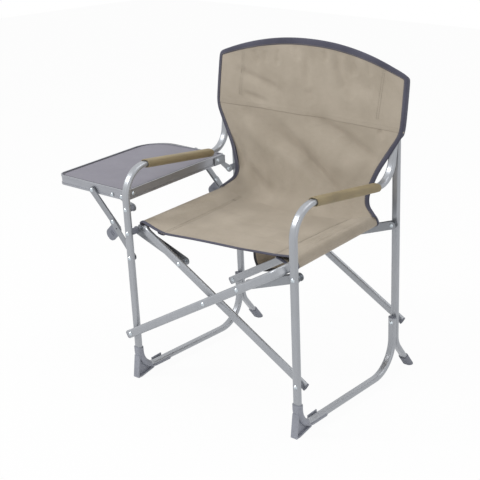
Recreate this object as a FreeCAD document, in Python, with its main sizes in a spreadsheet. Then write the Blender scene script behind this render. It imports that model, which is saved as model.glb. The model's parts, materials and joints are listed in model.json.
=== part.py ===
# Folding camp chair with a drop-leaf side table, as a FreeCAD document.
# Millimetres, +Z up, the chair faces -Y and the table is on its -X side.
#
# The frame is drawn in its own axes x, y, w: the whole chair leans forward by the angle "lean"
# about X, so every pivot runs along y and every leg along w. The floor rises to the rear in
# these axes. One Placement turns each finished sub-part upright at the end.
import math
import os

import FreeCAD
import Part
import Sketcher
from FreeCAD import Placement, Rotation, Vector

X_AXIS, Y_AXIS, Z_AXIS = Vector(1, 0, 0), Vector(0, 1, 0), Vector(0, 0, 1)
RIGHT, LEFT = 1, -1
CROWN = 0.55
SLANT = math.sqrt(0.5)
FRONT, REAR = "front", "rear"

DRIVING = {
    # stance
    "lean": 3, "half_track": 268, "free_gap": 0.3, "running_clearance": 0.05, "cut_over": 1,
    # flat-oval tube, its broad side across the side frames
    "tube_wide": 22.5, "tube_thin": 13, "tube_wall": 1.4, "layer_gap": 7,
    # side frame: front leg, arm, upright, floor rail
    "leg_y": 19, "arm_corner_w": 595, "arm_fall": 8.6, "arm_bend": 73, "back_bend": 60,
    "upright_y": 445.6, "post_bend_w": 715, "recline": 9.2, "upright_top_w": 797, "splay": 1,
    "rail_z": 19, "toe_bend": 60, "heel_bend": 86, "rail_top_w": 147, "splice_w": 495,
    # rear post and its rubber foot
    "post_y": 459, "flare_w": 69, "flare": 37, "flare_bend": 67, "post_top_bend": 60,
    "post_top_w": 775, "heel_cap_long": 44, "heel_cap_wall": 2.8, "heel_stop": 8.4, "heel_round": 7,
    # front foot moulding
    "foot_wall": 2.6, "collar_top_w": 86, "collar_low_w": 62, "shoe_end_y": 124,
    "blade_wide": 19, "blade_web": 5, "blade_rim": 5, "sole_long": 14, "blade_end_y": 62,
    "mouth_y": 49, "mouth_bend": 12, "tip_rise": 4,
    "tab_front_y": 75, "tab_rear_y": 112, "tab_rise": 4, "tab_slope": 2,
    # pivots on the legs and posts
    "low_pivot_w": 135, "link_pivot_w": 415, "hinge_w": 480, "brace_pivot_w": 346,
    "post_bolt_low_w": 738, "post_bolt_high_w": 766,
    # cross frames
    "cross_angle": 30.5, "seat_reach": 279, "link_reach": 130, "cross_end": 12, "cross_bend": 30,
    # links
    "link_half": 10.5, "link_deep": 16.5, "link_wall": 1.8, "link_web_inset": 14,
    "link_standoff": 1.3,
    # bolts, rivets, spacers and plugs
    "bolt_radius": 3, "head_radius": 5.6, "head_high": 2.6, "spacer_radius": 8.5,
    "plug_flange": 3, "plug_stub": 8, "plug_recess": 1.6,
    # arm sleeve
    "sleeve_front_y": 97, "sleeve_long": 263, "sleeve_wide": 31, "sleeve_thin": 22,
    # side table
    "table_in_x": 284, "table_out_x": 547, "table_front_y": 36, "table_rear_y": 424,
    "table_back_y": 406, "table_top_w": 522, "rim_high": 27, "rim_wall": 3.2, "bead_high": 5,
    "bead_proud": 1.4, "panel_drop": 2, "panel_thick": 4, "panel_gap": 0.6, "lip_wide": 9,
    "front_corner": 24, "rear_corner": 78, "hinge_corner": 4,
    # table hinges and braces
    "ear_radius": 10.5, "ear_slope": 4.2, "ear_thick": 3, "plate_thick": 1.8, "plate_long": 41,
    "ear_long": 26,
    "front_plate_long": 66, "screw_back": 28, "end_screw_back": 16, "far_screw_back": 54,
    "front_screw_rise": 7.5, "plate_corner": 3,
    "rim_pivot_x": 409, "rim_pivot_w": 503.5, "knee_x": 337, "knee_w": 429,
    "brace_half": 9, "brace_thick": 2.4, "channel_deep": 4.6, "flange_thick": 1.7,
    "brace_spacer": 6,
    "knee_head_high": 1.8, "catch_back": 21, "catch_radius": 2.2, "brace_overrun": 26,
    "tab_wide": 43, "tab_high": 34, "tab_start": 2, "tab_round": 15, "tab_corner": 3,
    "rib_wide": 1.4, "rib_pitch": 4, "rib_high": 0.9, "rib_in": 15, "rib_long": 14,
    # cloth
    "cloth_thick": 2.6, "sleeve_wall": 1.6, "seat_front_y": 46, "seat_rear_y": 412, "seat_sag": 13,
    "seat_edge_back": 3,
    "back_low_w": 640, "back_sleeve_w": 652, "back_corner_w": 806,
    "back_arch": 106, "arch_bend": 800, "back_corner_bend": 14, "back_edge_x": 302,
    "hip_w": 640, "hip_bend": 45, "waist_x": 216, "waist_w": 528, "waist_bend": 80,
    "waist_low_w": 453, "waist_low_x": 226, "upright_out": 8,
    "pocket_front_y": 262, "pocket_rear_y": 398, "pocket_half": 118, "pocket_deep": 58,
    "pocket_front_deep": 35, "pocket_bend": 17,
}

doc = FreeCAD.newDocument("folding_camp_chair")
sheet = doc.addObject("Spreadsheet::Sheet", "sizes")
for row, (alias, number) in enumerate(DRIVING.items(), 1):
    sheet.set(f"A{row}", str(number))
    sheet.setAlias(f"A{row}", alias)
doc.recompute()


class Size:
    """A number in millimetres or degrees with the spreadsheet expression that gives it."""

    def __init__(self, value, text):
        self.value = float(value)
        self.text = text

    def combine(self, other, sign, value):
        return Size(value, f"({self.text} {sign} {other.text})")

    def __add__(self, other):
        other = sized(other)
        return self.combine(other, "+", self.value + other.value)

    def __sub__(self, other):
        other = sized(other)
        return self.combine(other, "-", self.value - other.value)

    def __mul__(self, other):
        other = sized(other)
        return self.combine(other, "*", self.value * other.value)

    def __truediv__(self, other):
        other = sized(other)
        return self.combine(other, "/", self.value / other.value)

    def __neg__(self):
        return sized(0) - self

    __radd__ = __add__
    __rmul__ = __mul__

    def __rsub__(self, other):
        return sized(other) - self

    def __rtruediv__(self, other):
        return sized(other) / self


def sized(number):
    return number if isinstance(number, Size) else Size(number, f"({number})")


def sine(angle):
    return Size(math.sin(math.radians(angle.value)), f"sin({angle.text} * 1 deg)")


def cosine(angle):
    return Size(math.cos(math.radians(angle.value)), f"cos({angle.text} * 1 deg)")


def tangent(angle):
    return Size(math.tan(math.radians(angle.value)), f"tan({angle.text} * 1 deg)")


class Named:
    """Gives each driving size as an attribute of its own name."""

    def __getattr__(self, alias):
        return Size(DRIVING[alias], f"sizes.{alias}")


S = Named()
SUB_PARTS = []


def bind(item, name, size):
    size = sized(size)
    setattr(item, name, size.value)
    item.setExpression(name, size.text)


# ---------------------------------------------------------------- places in the frame's axes

LAYER = S.tube_thin + S.layer_gap
BOLT_HOLE = S.bolt_radius + S.running_clearance
REAR_FRONT_Y = S.leg_y + LAYER
REAR_REAR_Y = S.post_y + LAYER
FORE_FRONT_Y = S.leg_y - LAYER
HEEL_Y = S.post_y - S.tube_thin
FORE_REAR_Y = HEEL_Y - LAYER
LEG_FACE_Y = S.leg_y + S.tube_thin / 2
POST_FACE_Y = S.post_y - S.tube_thin / 2
CROSS_LOW = S.half_track / cosine(S.cross_angle)
CROSS_LINK = CROSS_LOW + S.link_reach
CROSS_RAIL = CROSS_LOW + S.seat_reach
LEFT_LINK_Y = REAR_FRONT_Y + S.tube_thin / 2 + S.link_standoff
REAR_LINK_Y = POST_FACE_Y - S.free_gap - S.link_deep
BRACE_FRONT_Y = LEG_FACE_Y + S.knee_head_high + 2 * S.free_gap
BRACE_REAR_Y = POST_FACE_Y - S.knee_head_high - 2 * S.free_gap


def floor_w(y):
    return -(y * tangent(S.lean))


def rail_w(y):
    return S.rail_z / cosine(S.lean) - y * tangent(S.lean)


def arm_w(y):
    return S.arm_corner_w - (y - S.leg_y) * tangent(S.arm_fall)


def upright_y(w):
    return S.upright_y + (w - S.post_bend_w) * tangent(S.recline)


def post_top_y(w):
    return S.post_y + (w - S.post_bend_w) * tangent(S.recline)


def heel_point():
    """Where the flared post's line meets the floor."""
    rise = S.flare_w + S.post_y * tangent(S.lean)
    out = rise / (1 / tangent(S.flare) - tangent(S.lean))
    return S.post_y + out, floor_w(S.post_y + out)


def diagonal(reach, side):
    """The point x, w at this reach along the cross frame whose lower end is on this side."""
    x = side * (S.half_track - reach * cosine(S.cross_angle))
    return x, S.low_pivot_w + reach * sine(S.cross_angle)


def local(x=0, y=0, w=0, turn=0):
    """A place in the frame's axes, turned about y."""
    spot = [sized(v).value for v in (x, y, w)]
    return Placement(Vector(*spot), Rotation(Y_AXIS, sized(turn).value))


# ---------------------------------------------------------------- sketches


def new_body(label, place=None):
    body = doc.addObject("PartDesign::Body", label)
    body.Placement = place or Placement()
    SUB_PARTS.append(body)
    return body


def sketch_on(body, plane, offset=0, turn=None):
    sketch = body.newObject("Sketcher::SketchObject", "Sketch")
    origin = [f for f in body.Origin.OriginFeatures if f.Role == plane][0]
    sketch.AttachmentSupport = [(origin, "")]
    sketch.MapMode = "FlatFace"
    offset = sized(offset)
    sketch.AttachmentOffset = turn or Placement(Vector(0, 0, offset.value), Rotation())
    if turn is None and offset.value:
        sketch.setExpression("AttachmentOffset.Base.z", offset.text)
    return sketch


def fix(sketch, kind, geometry, point, size):
    """Hold one coordinate of a point at a size measured from the sketch's origin."""
    size = sized(size)
    if abs(size.value) < 1e-9:
        axis = -2 if kind == "DistanceX" else -1
        sketch.addConstraint(Sketcher.Constraint("PointOnObject", geometry, point, axis))
        return
    ends = (-1, 1, geometry, point) if size.value > 0 else (geometry, point, -1, 1)
    size = size if size.value > 0 else -size
    index = sketch.addConstraint(Sketcher.Constraint(kind, *ends, size.value))
    sketch.setExpression(f"Constraints[{index}]", size.text)


def fix_point(sketch, geometry, point, u, v):
    fix(sketch, "DistanceX", geometry, point, u)
    fix(sketch, "DistanceY", geometry, point, v)


def corner_arc(centre, radius, enter, leave):
    """The short arc between two points, always counter-clockwise as sketches want it."""
    start, end = enter - centre, leave - centre
    if start.cross(end).z < 0:
        start, end = end, start
    first = math.atan2(start.y, start.x)
    last = math.atan2(end.y, end.x)
    if last < first:
        last += 2 * math.pi
    return Part.ArcOfCircle(Part.Circle(centre, Z_AXIS, radius), first, last)


def chain(sketch, corners, closed=True):
    """Straight lines through the corners (u, v) or (u, v, radius), tangent arcs where rounded."""
    spots = [Vector(sized(c[0]).value, sized(c[1]).value, 0) for c in corners]
    count = len(corners)
    radii = [sized(c[2]) if len(c) > 2 else None for c in corners]
    enter, leave, arcs = list(spots), list(spots), {}
    for i, radius in enumerate(radii):
        if radius is None:
            continue
        come = (spots[i - 1] - spots[i]).normalize()
        go = (spots[(i + 1) % count] - spots[i]).normalize()
        half = come.getAngle(go) / 2
        reach = radius.value / math.tan(half)
        enter[i], leave[i] = spots[i] + come * reach, spots[i] + go * reach
        centre = spots[i] + (come + go).normalize() * (radius.value / math.sin(half))
        arcs[i] = corner_arc(centre, radius.value, enter[i], leave[i])
    sides = count if closed else count - 1
    lines = []
    for i in range(sides):
        line = Part.LineSegment(leave[i], enter[(i + 1) % count])
        lines.append(sketch.addGeometry(line))
    for i in range(count):
        before, after = lines[i - 1], lines[i % sides]
        if not closed and i in (0, count - 1):
            line, point = (lines[0], 1) if i == 0 else (lines[-1], 2)
            fix_point(sketch, line, point, corners[i][0], corners[i][1])
        elif i in arcs:
            arc = sketch.addGeometry(arcs[i])
            first = 1 if arcs[i].StartPoint.distanceToPoint(enter[i]) < 1e-6 else 2
            sketch.addConstraint(Sketcher.Constraint("Tangent", before, 2, arc, first))
            sketch.addConstraint(Sketcher.Constraint("Tangent", after, 1, arc, 3 - first))
            index = sketch.addConstraint(Sketcher.Constraint("Radius", arc, radii[i].value))
            sketch.setExpression(f"Constraints[{index}]", radii[i].text)
            corner = sketch.addGeometry(Part.Point(spots[i]), True)
            sketch.addConstraint(Sketcher.Constraint("PointOnObject", corner, 1, before))
            sketch.addConstraint(Sketcher.Constraint("PointOnObject", corner, 1, after))
            fix_point(sketch, corner, 1, corners[i][0], corners[i][1])
        else:
            sketch.addConstraint(Sketcher.Constraint("Coincident", before, 2, after, 1))
            fix_point(sketch, after, 1, corners[i][0], corners[i][1])


def box_outline(u_low, u_high, v_low, v_high):
    return [(u_low, v_low), (u_high, v_low), (u_high, v_high), (u_low, v_high)]


def stadium(sketch, start, end, radius, along="x"):
    """A slot whose round ends are centred at start and end on the u axis, or on the v axis."""
    start, end, radius = sized(start), sized(end), sized(radius)
    upright = along == "z"

    def spot(u, v):
        return Vector(-v, u, 0) if upright else Vector(u, v, 0)

    a, b, r = start.value, end.value, radius.value
    bottom = sketch.addGeometry(Part.LineSegment(spot(a, -r), spot(b, -r)))
    nose = sketch.addGeometry(Part.Arc(spot(b, -r), spot(b + r, 0), spot(b, r)))
    top = sketch.addGeometry(Part.LineSegment(spot(b, r), spot(a, r)))
    tail = sketch.addGeometry(Part.Arc(spot(a, r), spot(a - r, 0), spot(a, -r)))
    for one, other in ((bottom, nose), (nose, top), (top, tail), (tail, bottom)):
        sketch.addConstraint(Sketcher.Constraint("Tangent", one, 2, other, 1))
    kind, cross = ("DistanceY", "DistanceX") if upright else ("DistanceX", "DistanceY")
    fix(sketch, kind, nose, 3, end)
    fix(sketch, cross, nose, 3, 0)
    fix(sketch, kind, tail, 3, start)
    fix(sketch, cross, tail, 3, 0)
    index = sketch.addConstraint(Sketcher.Constraint("Radius", nose, r))
    sketch.setExpression(f"Constraints[{index}]", radius.text)


def oval(sketch, wide, thin):
    half = (wide - thin) / 2
    stadium(sketch, -half, half, thin / 2)


def circle(sketch, u, v, radius):
    u, v, radius = sized(u), sized(v), sized(radius)
    spot = Vector(u.value, v.value, 0)
    ring = sketch.addGeometry(Part.Circle(spot, Z_AXIS, radius.value))
    fix_point(sketch, ring, 3, u, v)
    index = sketch.addConstraint(Sketcher.Constraint("Radius", ring, radius.value))
    sketch.setExpression(f"Constraints[{index}]", radius.text)


# ---------------------------------------------------------------- features


def pad(body, sketch, length, midplane=False, reverse=False):
    feature = body.newObject("PartDesign::Pad", "Pad")
    feature.Profile = sketch
    bind(feature, "Length", length)
    feature.Midplane = midplane
    feature.Reversed = reverse
    return feature


def pocket(body, sketch, length=None, midplane=True, reverse=False):
    feature = body.newObject("PartDesign::Pocket", "Pocket")
    feature.Profile = sketch
    if length is None:
        feature.Type = "ThroughAll"
    else:
        bind(feature, "Length", length)
    feature.Midplane = midplane
    feature.Reversed = reverse
    return feature


def sweep(body, corners, outline, splay=0, cut=False):
    """Sweep an outline along a chain of corners (y, w), splayed outward about the front leg."""
    turned = None
    if splay:
        angle = math.radians(splay)
        axis = S.leg_y.value
        shift = Vector(axis * (1 - math.cos(angle)), 0, -axis * math.sin(angle))
        turned = Placement(shift, Rotation(Y_AXIS, -splay))
    path = sketch_on(body, "YZ_Plane", turn=turned)
    chain(path, corners, closed=False)
    start, then = corners[0], corners[1]
    rise = sized(then[1]).value - sized(start[1]).value
    run = sized(then[0]).value - sized(start[0]).value
    tilt = math.degrees(math.atan2(-run, rise))
    at = Vector(0, sized(start[0]).value, sized(start[1]).value)
    facing = Rotation(Z_AXIS, -splay) * Rotation(X_AXIS, tilt)
    profile = sketch_on(body, "XY_Plane", turn=Placement(at, facing))
    outline(profile)
    kind = "PartDesign::SubtractivePipe" if cut else "PartDesign::AdditivePipe"
    pipe = body.newObject(kind, "Pipe")
    pipe.Profile = profile
    pipe.Spine = path
    return pipe


def tube_outline(sketch):
    """The wall of the flat-oval tube."""
    oval(sketch, S.tube_wide, S.tube_thin)
    oval(sketch, S.tube_wide - 2 * S.tube_wall, S.tube_thin - 2 * S.tube_wall)


def drill(body, spots, radius=BOLT_HOLE):
    """Bolt holes along y at the given (x, w) spots, through everything."""
    sketch = sketch_on(body, "XZ_Plane")
    for x, w in spots:
        circle(sketch, x, w, radius)
    return pocket(body, sketch)


def soften(body, base, radius, chosen):
    """Fillet the edges of the base feature that the test picks."""
    doc.recompute()
    names = [f"Edge{i}" for i, edge in enumerate(base.Shape.Edges, 1) if chosen(edge)]
    fillet = body.newObject("PartDesign::Fillet", "Fillet")
    fillet.Base = (base, names)
    bind(fillet, "Radius", radius)
    return fillet


def group(label, pieces):
    """Several loose solids of one kind in one node."""
    compound = doc.addObject("Part::Compound", label)
    compound.Links = pieces
    SUB_PARTS.append(compound)
    return compound


def along_y(kind, at, size_y, **sizes):
    item = doc.addObject(kind, "Turned")
    for name, size in sizes.items():
        bind(item, name, size)
    spot = Vector(sized(at[0]).value, sized(size_y).value, sized(at[1]).value)
    item.Placement = Placement(spot, Rotation(X_AXIS, -90))
    return item


def rivet(at, front_y, rear_y, rear_head=True, front_head=True, head_high=S.head_high):
    """A bolt or rivet along y between two faces, with domed heads outside them."""
    long = rear_y - front_y
    pieces = [along_y("Part::Cylinder", at, front_y, Radius=S.bolt_radius, Height=long)]
    rim, crown = S.head_radius, S.head_radius * CROWN
    if rear_head:
        head = dict(Radius1=rim, Radius2=crown, Height=head_high)
        pieces.append(along_y("Part::Cone", at, rear_y, **head))
    if front_head:
        head = dict(Radius1=crown, Radius2=rim, Height=head_high)
        pieces.append(along_y("Part::Cone", at, front_y - head_high, **head))
    if len(pieces) == 1:
        return pieces[0]
    joined = doc.addObject("Part::MultiFuse", "Rivet")
    joined.Shapes = pieces
    return joined


def spacer(at, front_y, rear_y, radius=None):
    radius = radius or S.spacer_radius
    long = rear_y - front_y
    body = along_y("Part::Cylinder", at, front_y, Radius=radius, Height=long)
    bore = along_y("Part::Cylinder", at, front_y, Radius=BOLT_HOLE, Height=long)
    ring = doc.addObject("Part::Cut", "Spacer")
    ring.Base = body
    ring.Tool = bore
    return ring


def end_plug(label, place, recessed=False):
    """A flanged plug in a tube's end; local z points out of the tube."""
    body = new_body(label, place)
    flange = sketch_on(body, "XY_Plane")
    oval(flange, S.tube_wide, S.tube_thin)
    pad(body, flange, S.plug_flange)
    stub = sketch_on(body, "XY_Plane")
    inside = 2 * (S.tube_wall + S.running_clearance)
    oval(stub, S.tube_wide - inside, S.tube_thin - inside)
    last = pad(body, stub, S.plug_stub, reverse=True)
    if recessed:
        well = sketch_on(body, "XY_Plane", S.plug_flange)
        oval(well, S.tube_wide - 2 * S.tube_wall, S.tube_thin - 2 * S.tube_wall)
        last = pocket(body, well, S.plug_recess, midplane=False)
    return body


# ---------------------------------------------------------------- side frames


def side_name(side):
    return "right" if side == RIGHT else "left"


def side_tube(side):
    """One tube: floor rail, front leg, arm and upright; it bends at toe, arm, back and heel."""
    body = new_body(f"{side_name(side)}_side_tube", local(x=side * S.half_track))
    leg_and_rail = [
        (S.leg_y, S.splice_w),
        (S.leg_y, rail_w(S.leg_y), S.toe_bend),
        (HEEL_Y, rail_w(HEEL_Y), S.heel_bend),
        (HEEL_Y, S.rail_top_w),
    ]
    sweep(body, leg_and_rail, tube_outline)
    drill(body, [(0, w) for w in pivot_heights(side)])
    elbow_w = corner_of_back()
    leg_to_back = [
        (S.leg_y, S.splice_w),
        (S.leg_y, S.arm_corner_w, S.arm_bend),
        (upright_y(elbow_w), elbow_w, S.back_bend),
        (upright_y(S.upright_top_w), S.upright_top_w),
    ]
    sweep(body, leg_to_back, tube_outline, splay=side * S.splay.value)
    drill(body, post_bolts(side))
    return body


def pivot_heights(side):
    heights = [S.low_pivot_w, S.link_pivot_w]
    return heights if side == RIGHT else heights + [S.hinge_w, S.brace_pivot_w]


def post_bolts(side):
    """Where the post's top is bolted to the upright, in the side frame's own x and w."""
    x = side * S.upright_out / 2
    return [(x, S.post_bolt_low_w), (x, S.post_bolt_high_w)]


def corner_of_back():
    """Where the arm's line meets the upright's line."""
    slope = tangent(S.arm_fall) * tangent(S.recline)
    level = S.arm_corner_w - (S.upright_y - S.leg_y) * tangent(S.arm_fall)
    return (level + S.post_bend_w * slope) / (1 + slope)


def rear_post(side):
    body = new_body(f"{side_name(side)}_rear_post", local(x=side * S.half_track))
    sole_y, sole_w = heel_point()
    stop = S.heel_stop
    heel, heel_w = sole_y - stop * sine(S.flare), sole_w + stop * cosine(S.flare)
    path = [
        (post_top_y(S.post_top_w), S.post_top_w),
        (S.post_y, S.post_bend_w, S.post_top_bend),
        (S.post_y, S.flare_w, S.flare_bend),
        (heel, heel_w),
    ]
    sweep(body, path, tube_outline)
    drill(body, [(0, w) for w in pivot_heights(side)])
    drill(body, post_bolts(side))
    return body


def rear_foot(side):
    """Rubber cap on the flared end; local z runs down the flare and ends at the sole."""
    sole_y, sole_w = heel_point()
    turn = Rotation(X_AXIS, 180 + S.flare.value)
    spot = Vector(side * S.half_track.value, sole_y.value, sole_w.value)
    body = new_body(f"{side_name(side)}_rear_foot", Placement(spot, turn))
    outer = sketch_on(body, "XY_Plane", -S.heel_cap_long)
    over = 2 * S.heel_cap_wall
    oval(outer, S.tube_wide + over, S.tube_thin + over)
    base = pad(body, outer, S.heel_cap_long + S.heel_round)
    low = S.heel_round.value
    soften(body, base, S.heel_round, lambda edge: edge.CenterOfMass.z > low - 0.01)
    bore = sketch_on(body, "XY_Plane", -S.heel_cap_long)
    oval(bore, S.tube_wide, S.tube_thin)
    pocket(body, bore, S.heel_cap_long - S.heel_stop, midplane=False, reverse=True)
    sole = sketch_on(body, "YZ_Plane")
    lean = S.flare + S.lean
    wide = S.heel_cap_long
    side_y, side_z = wide * cosine(lean), wide * sine(lean)
    chain(sole, [
        (-side_y, side_z), (side_z - side_y, side_z + side_y),
        (side_y + side_z, side_y - side_z), (side_y, -side_z),
    ])
    pocket(body, sole)
    return body


def front_foot(side):
    """Plastic shoe clipped round the toe bend: collar, open clip, webbed blade and floor tip."""
    body = new_body(f"{side_name(side)}_front_foot", local(x=side * S.half_track))
    front = S.leg_y - S.tube_thin / 2 - S.foot_wall
    under = rail_w(S.blade_end_y) - S.tube_thin / 2 - S.foot_wall
    toe_w = rail_w(S.leg_y)
    centre_y, centre_w = S.leg_y + S.toe_bend, toe_w + S.toe_bend
    mid_y, mid_w = centre_y - SLANT * S.toe_bend, centre_w - SLANT * S.toe_bend
    web = sketch_on(body, "YZ_Plane")
    chain(web, [
        (0, 0), (S.sole_long, floor_w(S.sole_long)), (S.blade_end_y, under),
        (centre_y, rail_w(centre_y)), (mid_y, mid_w), (S.leg_y, S.collar_low_w),
        (front, S.collar_low_w),
    ])
    pad(body, web, S.blade_web, midplane=True)
    rims = sketch_on(body, "YZ_Plane")
    rim = S.blade_rim
    chain(rims, [
        (0, 0), (S.sole_long, floor_w(S.sole_long)), (S.blade_end_y, under),
        (S.blade_end_y, under + rim), (S.sole_long, S.tip_rise), (S.tip_rise, rim),
        (front + rim, S.collar_low_w), (front, S.collar_low_w),
    ])
    pad(body, rims, S.blade_wide, midplane=True)
    path = [
        (S.leg_y, S.collar_top_w),
        (S.leg_y, toe_w, S.toe_bend),
        (S.shoe_end_y, rail_w(S.shoe_end_y)),
    ]
    over = 2 * S.foot_wall
    sweep(body, path, lambda s: oval(s, S.tube_wide + over, S.tube_thin + over))
    long_path = [
        (S.leg_y, S.collar_top_w + S.cut_over),
        (S.leg_y, toe_w, S.toe_bend),
        (S.shoe_end_y + S.cut_over, rail_w(S.shoe_end_y + S.cut_over)),
    ]
    sweep(body, long_path, lambda s: oval(s, S.tube_wide, S.tube_thin), cut=True)
    mouth = sketch_on(body, "YZ_Plane")
    far = S.shoe_end_y + S.foot_wall
    chain(mouth, [
        (S.mouth_y, S.collar_low_w), (S.mouth_y, rail_w(S.mouth_y) + S.cut_over, S.mouth_bend),
        (far, rail_w(far) + S.cut_over), (far, S.collar_low_w),
    ])
    pocket(body, mouth)
    tab = sketch_on(body, "YZ_Plane", -(S.tube_wide / 2 + S.foot_wall))
    crest = S.tube_thin / 2 + S.tab_rise
    chain(tab, [
        (S.tab_front_y, rail_w(S.tab_front_y)),
        (S.tab_rear_y, rail_w(S.tab_rear_y)),
        (S.tab_rear_y, rail_w(S.tab_rear_y) + crest),
        (S.tab_front_y, rail_w(S.tab_front_y) + crest - S.tab_slope),
    ])
    pad(body, tab, S.foot_wall - S.running_clearance)
    return body


def arm_sleeve(side):
    """Foam sleeve on the arm; local z runs rearward along the arm."""
    spot = splayed(side, S.sleeve_front_y, arm_w(S.sleeve_front_y))
    turn = Rotation(Z_AXIS, -side * S.splay.value) * Rotation(X_AXIS, -90 - S.arm_fall.value)
    body = new_body(f"{side_name(side)}_arm_sleeve", Placement(spot, turn))
    ring = sketch_on(body, "XY_Plane")
    loose = 2 * S.running_clearance
    oval(ring, S.sleeve_wide, S.sleeve_thin)
    oval(ring, S.tube_wide + loose, S.tube_thin + loose)
    return pad(body, ring, S.sleeve_long)


def splayed(side, y, w):
    """A place y, w on the side tube, swung outward with the arm about the front leg."""
    angle = math.radians(S.splay.value)
    reach = (y - S.leg_y).value
    out = side * (S.half_track.value + reach * math.sin(angle))
    return Vector(out, S.leg_y.value + reach * math.cos(angle), w.value)


def side_plugs(side):
    name = side_name(side)
    end_plug(f"{name}_rail_plug", local(side * S.half_track, HEEL_Y, S.rail_top_w))
    spot = splayed(side, upright_y(S.upright_top_w), S.upright_top_w)
    turn = Rotation(Z_AXIS, -side * S.splay.value) * Rotation(X_AXIS, -S.recline.value)
    end_plug(f"{name}_upright_plug", Placement(spot, turn))


def side_hardware(side):
    """Bolts that stay with the side frame, and the spacers between it and its neighbours."""
    name = side_name(side)
    x = side * S.half_track
    leg_front, leg_rear = S.leg_y - S.tube_thin / 2, LEG_FACE_Y
    post_rear = S.post_y + S.tube_thin / 2
    heel_front = HEEL_Y - S.tube_thin / 2
    low, high = (x, S.low_pivot_w), (x, S.link_pivot_w)
    half = S.tube_thin / 2
    bolts, rings = [], []
    if side == RIGHT:
        bolts.append(rivet(low, leg_front, REAR_FRONT_Y + half + S.free_gap))
        bolts.append(rivet(low, heel_front, REAR_REAR_Y + half + S.free_gap))
        rings.append(spacer(low, leg_rear, REAR_FRONT_Y - half - S.free_gap))
        rings.append(spacer(low, post_rear, REAR_REAR_Y - half - S.free_gap))
        link_rear = LEG_FACE_Y + S.free_gap + S.link_deep
        bolts.append(rivet(high, leg_front, link_rear + S.free_gap))
    else:
        bolts.append(rivet(low, FORE_FRONT_Y - half - S.free_gap, leg_rear))
        bolts.append(rivet(low, FORE_REAR_Y - half - S.free_gap, post_rear))
        rings.append(spacer(low, FORE_FRONT_Y + half + S.free_gap, leg_front))
        rings.append(spacer(low, FORE_REAR_Y + half + S.free_gap, heel_front))
        rings.append(spacer(high, leg_rear, LEFT_LINK_Y - S.free_gap))
        bolts.append(rivet(high, leg_front, LEFT_LINK_Y + S.link_deep + S.free_gap))
        brace = (x, S.brace_pivot_w)
        rings.append(spacer(brace, leg_rear, BRACE_FRONT_Y - S.free_gap, S.brace_spacer))
        rings.append(spacer(brace, BRACE_REAR_Y + S.free_gap, POST_FACE_Y, S.brace_spacer))
    bolts.append(rivet(high, POST_FACE_Y - S.free_gap * 2 - S.link_deep, post_rear))
    inset = S.bolt_radius * tangent(S.recline)
    for out, w in post_bolts(side):
        front = upright_y(w) - S.tube_thin / 2 + inset
        rear = post_top_y(w) + S.tube_thin / 2 - inset
        bolts.append(rivet((x + out, w), front, rear, rear_head=False, front_head=False))
    group(f"{name}_frame_bolts", bolts)
    group(f"{name}_frame_spacers", rings)


# ---------------------------------------------------------------- cross frames and links


def cross_frame(name, side, front_y, rear_y):
    """A U of tube: two diagonals and the seat rail; its low ends pivot on this side."""
    turn = side * (S.cross_angle - 90)
    body = new_body(f"{name}_cross_tube", local(side * S.half_track, 0, S.low_pivot_w, turn))
    path = [
        (front_y, -S.cross_end),
        (front_y, CROSS_RAIL, S.cross_bend),
        (rear_y, CROSS_RAIL, S.cross_bend),
        (rear_y, -S.cross_end),
    ]
    sweep(body, path, tube_outline)
    drill(body, [(0, 0), (0, CROSS_LOW), (0, CROSS_LINK)])
    low_x, low_w = diagonal(-S.cross_end, side)
    for label, y in (("front", front_y), ("rear", rear_y)):
        end_plug(f"{name}_cross_{label}_plug", local(low_x, y, low_w, turn + 180), recessed=True)


def link(name, side, front_y):
    """An upward-open channel from the side frame's pivot to a rivet on the far diagonal."""
    far_x, far_w = diagonal(CROSS_LINK, -side)
    near_x, near_w = side * S.half_track, S.link_pivot_w
    run, rise = (near_x - far_x) * side, near_w - far_w
    angle = math.degrees(math.atan2(run.value, rise.value))
    long = math.hypot(run.value, rise.value)
    reach = Size(long, f"sqrt(({run.text}) ^ 2 + ({rise.text}) ^ 2)")
    body = new_body(name, local(far_x, front_y, far_w, side * angle))
    blank = sketch_on(body, "XZ_Plane")
    stadium(blank, 0, reach, S.link_half, along="z")
    pad(body, blank, S.link_deep, reverse=True)
    inside = sketch_on(body, "XZ_Plane", -S.link_deep / 2)
    half, web, inset = S.link_half, S.link_wall, S.link_web_inset
    low_u, high_u = -half - S.cut_over, half + S.cut_over
    shelf = half - web
    floor = [
        (-side * high_u, -high_u), (-side * high_u, reach + high_u),
        (side * high_u, reach + high_u),
        (side * high_u, reach - inset), (side * shelf, reach - inset), (side * shelf, inset),
        (side * high_u, inset), (side * high_u, low_u),
    ]
    chain(inside, floor)
    pocket(body, inside, S.link_deep - 2 * S.link_wall)
    drill(body, [(0, 0), (0, reach)])
    return body


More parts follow.
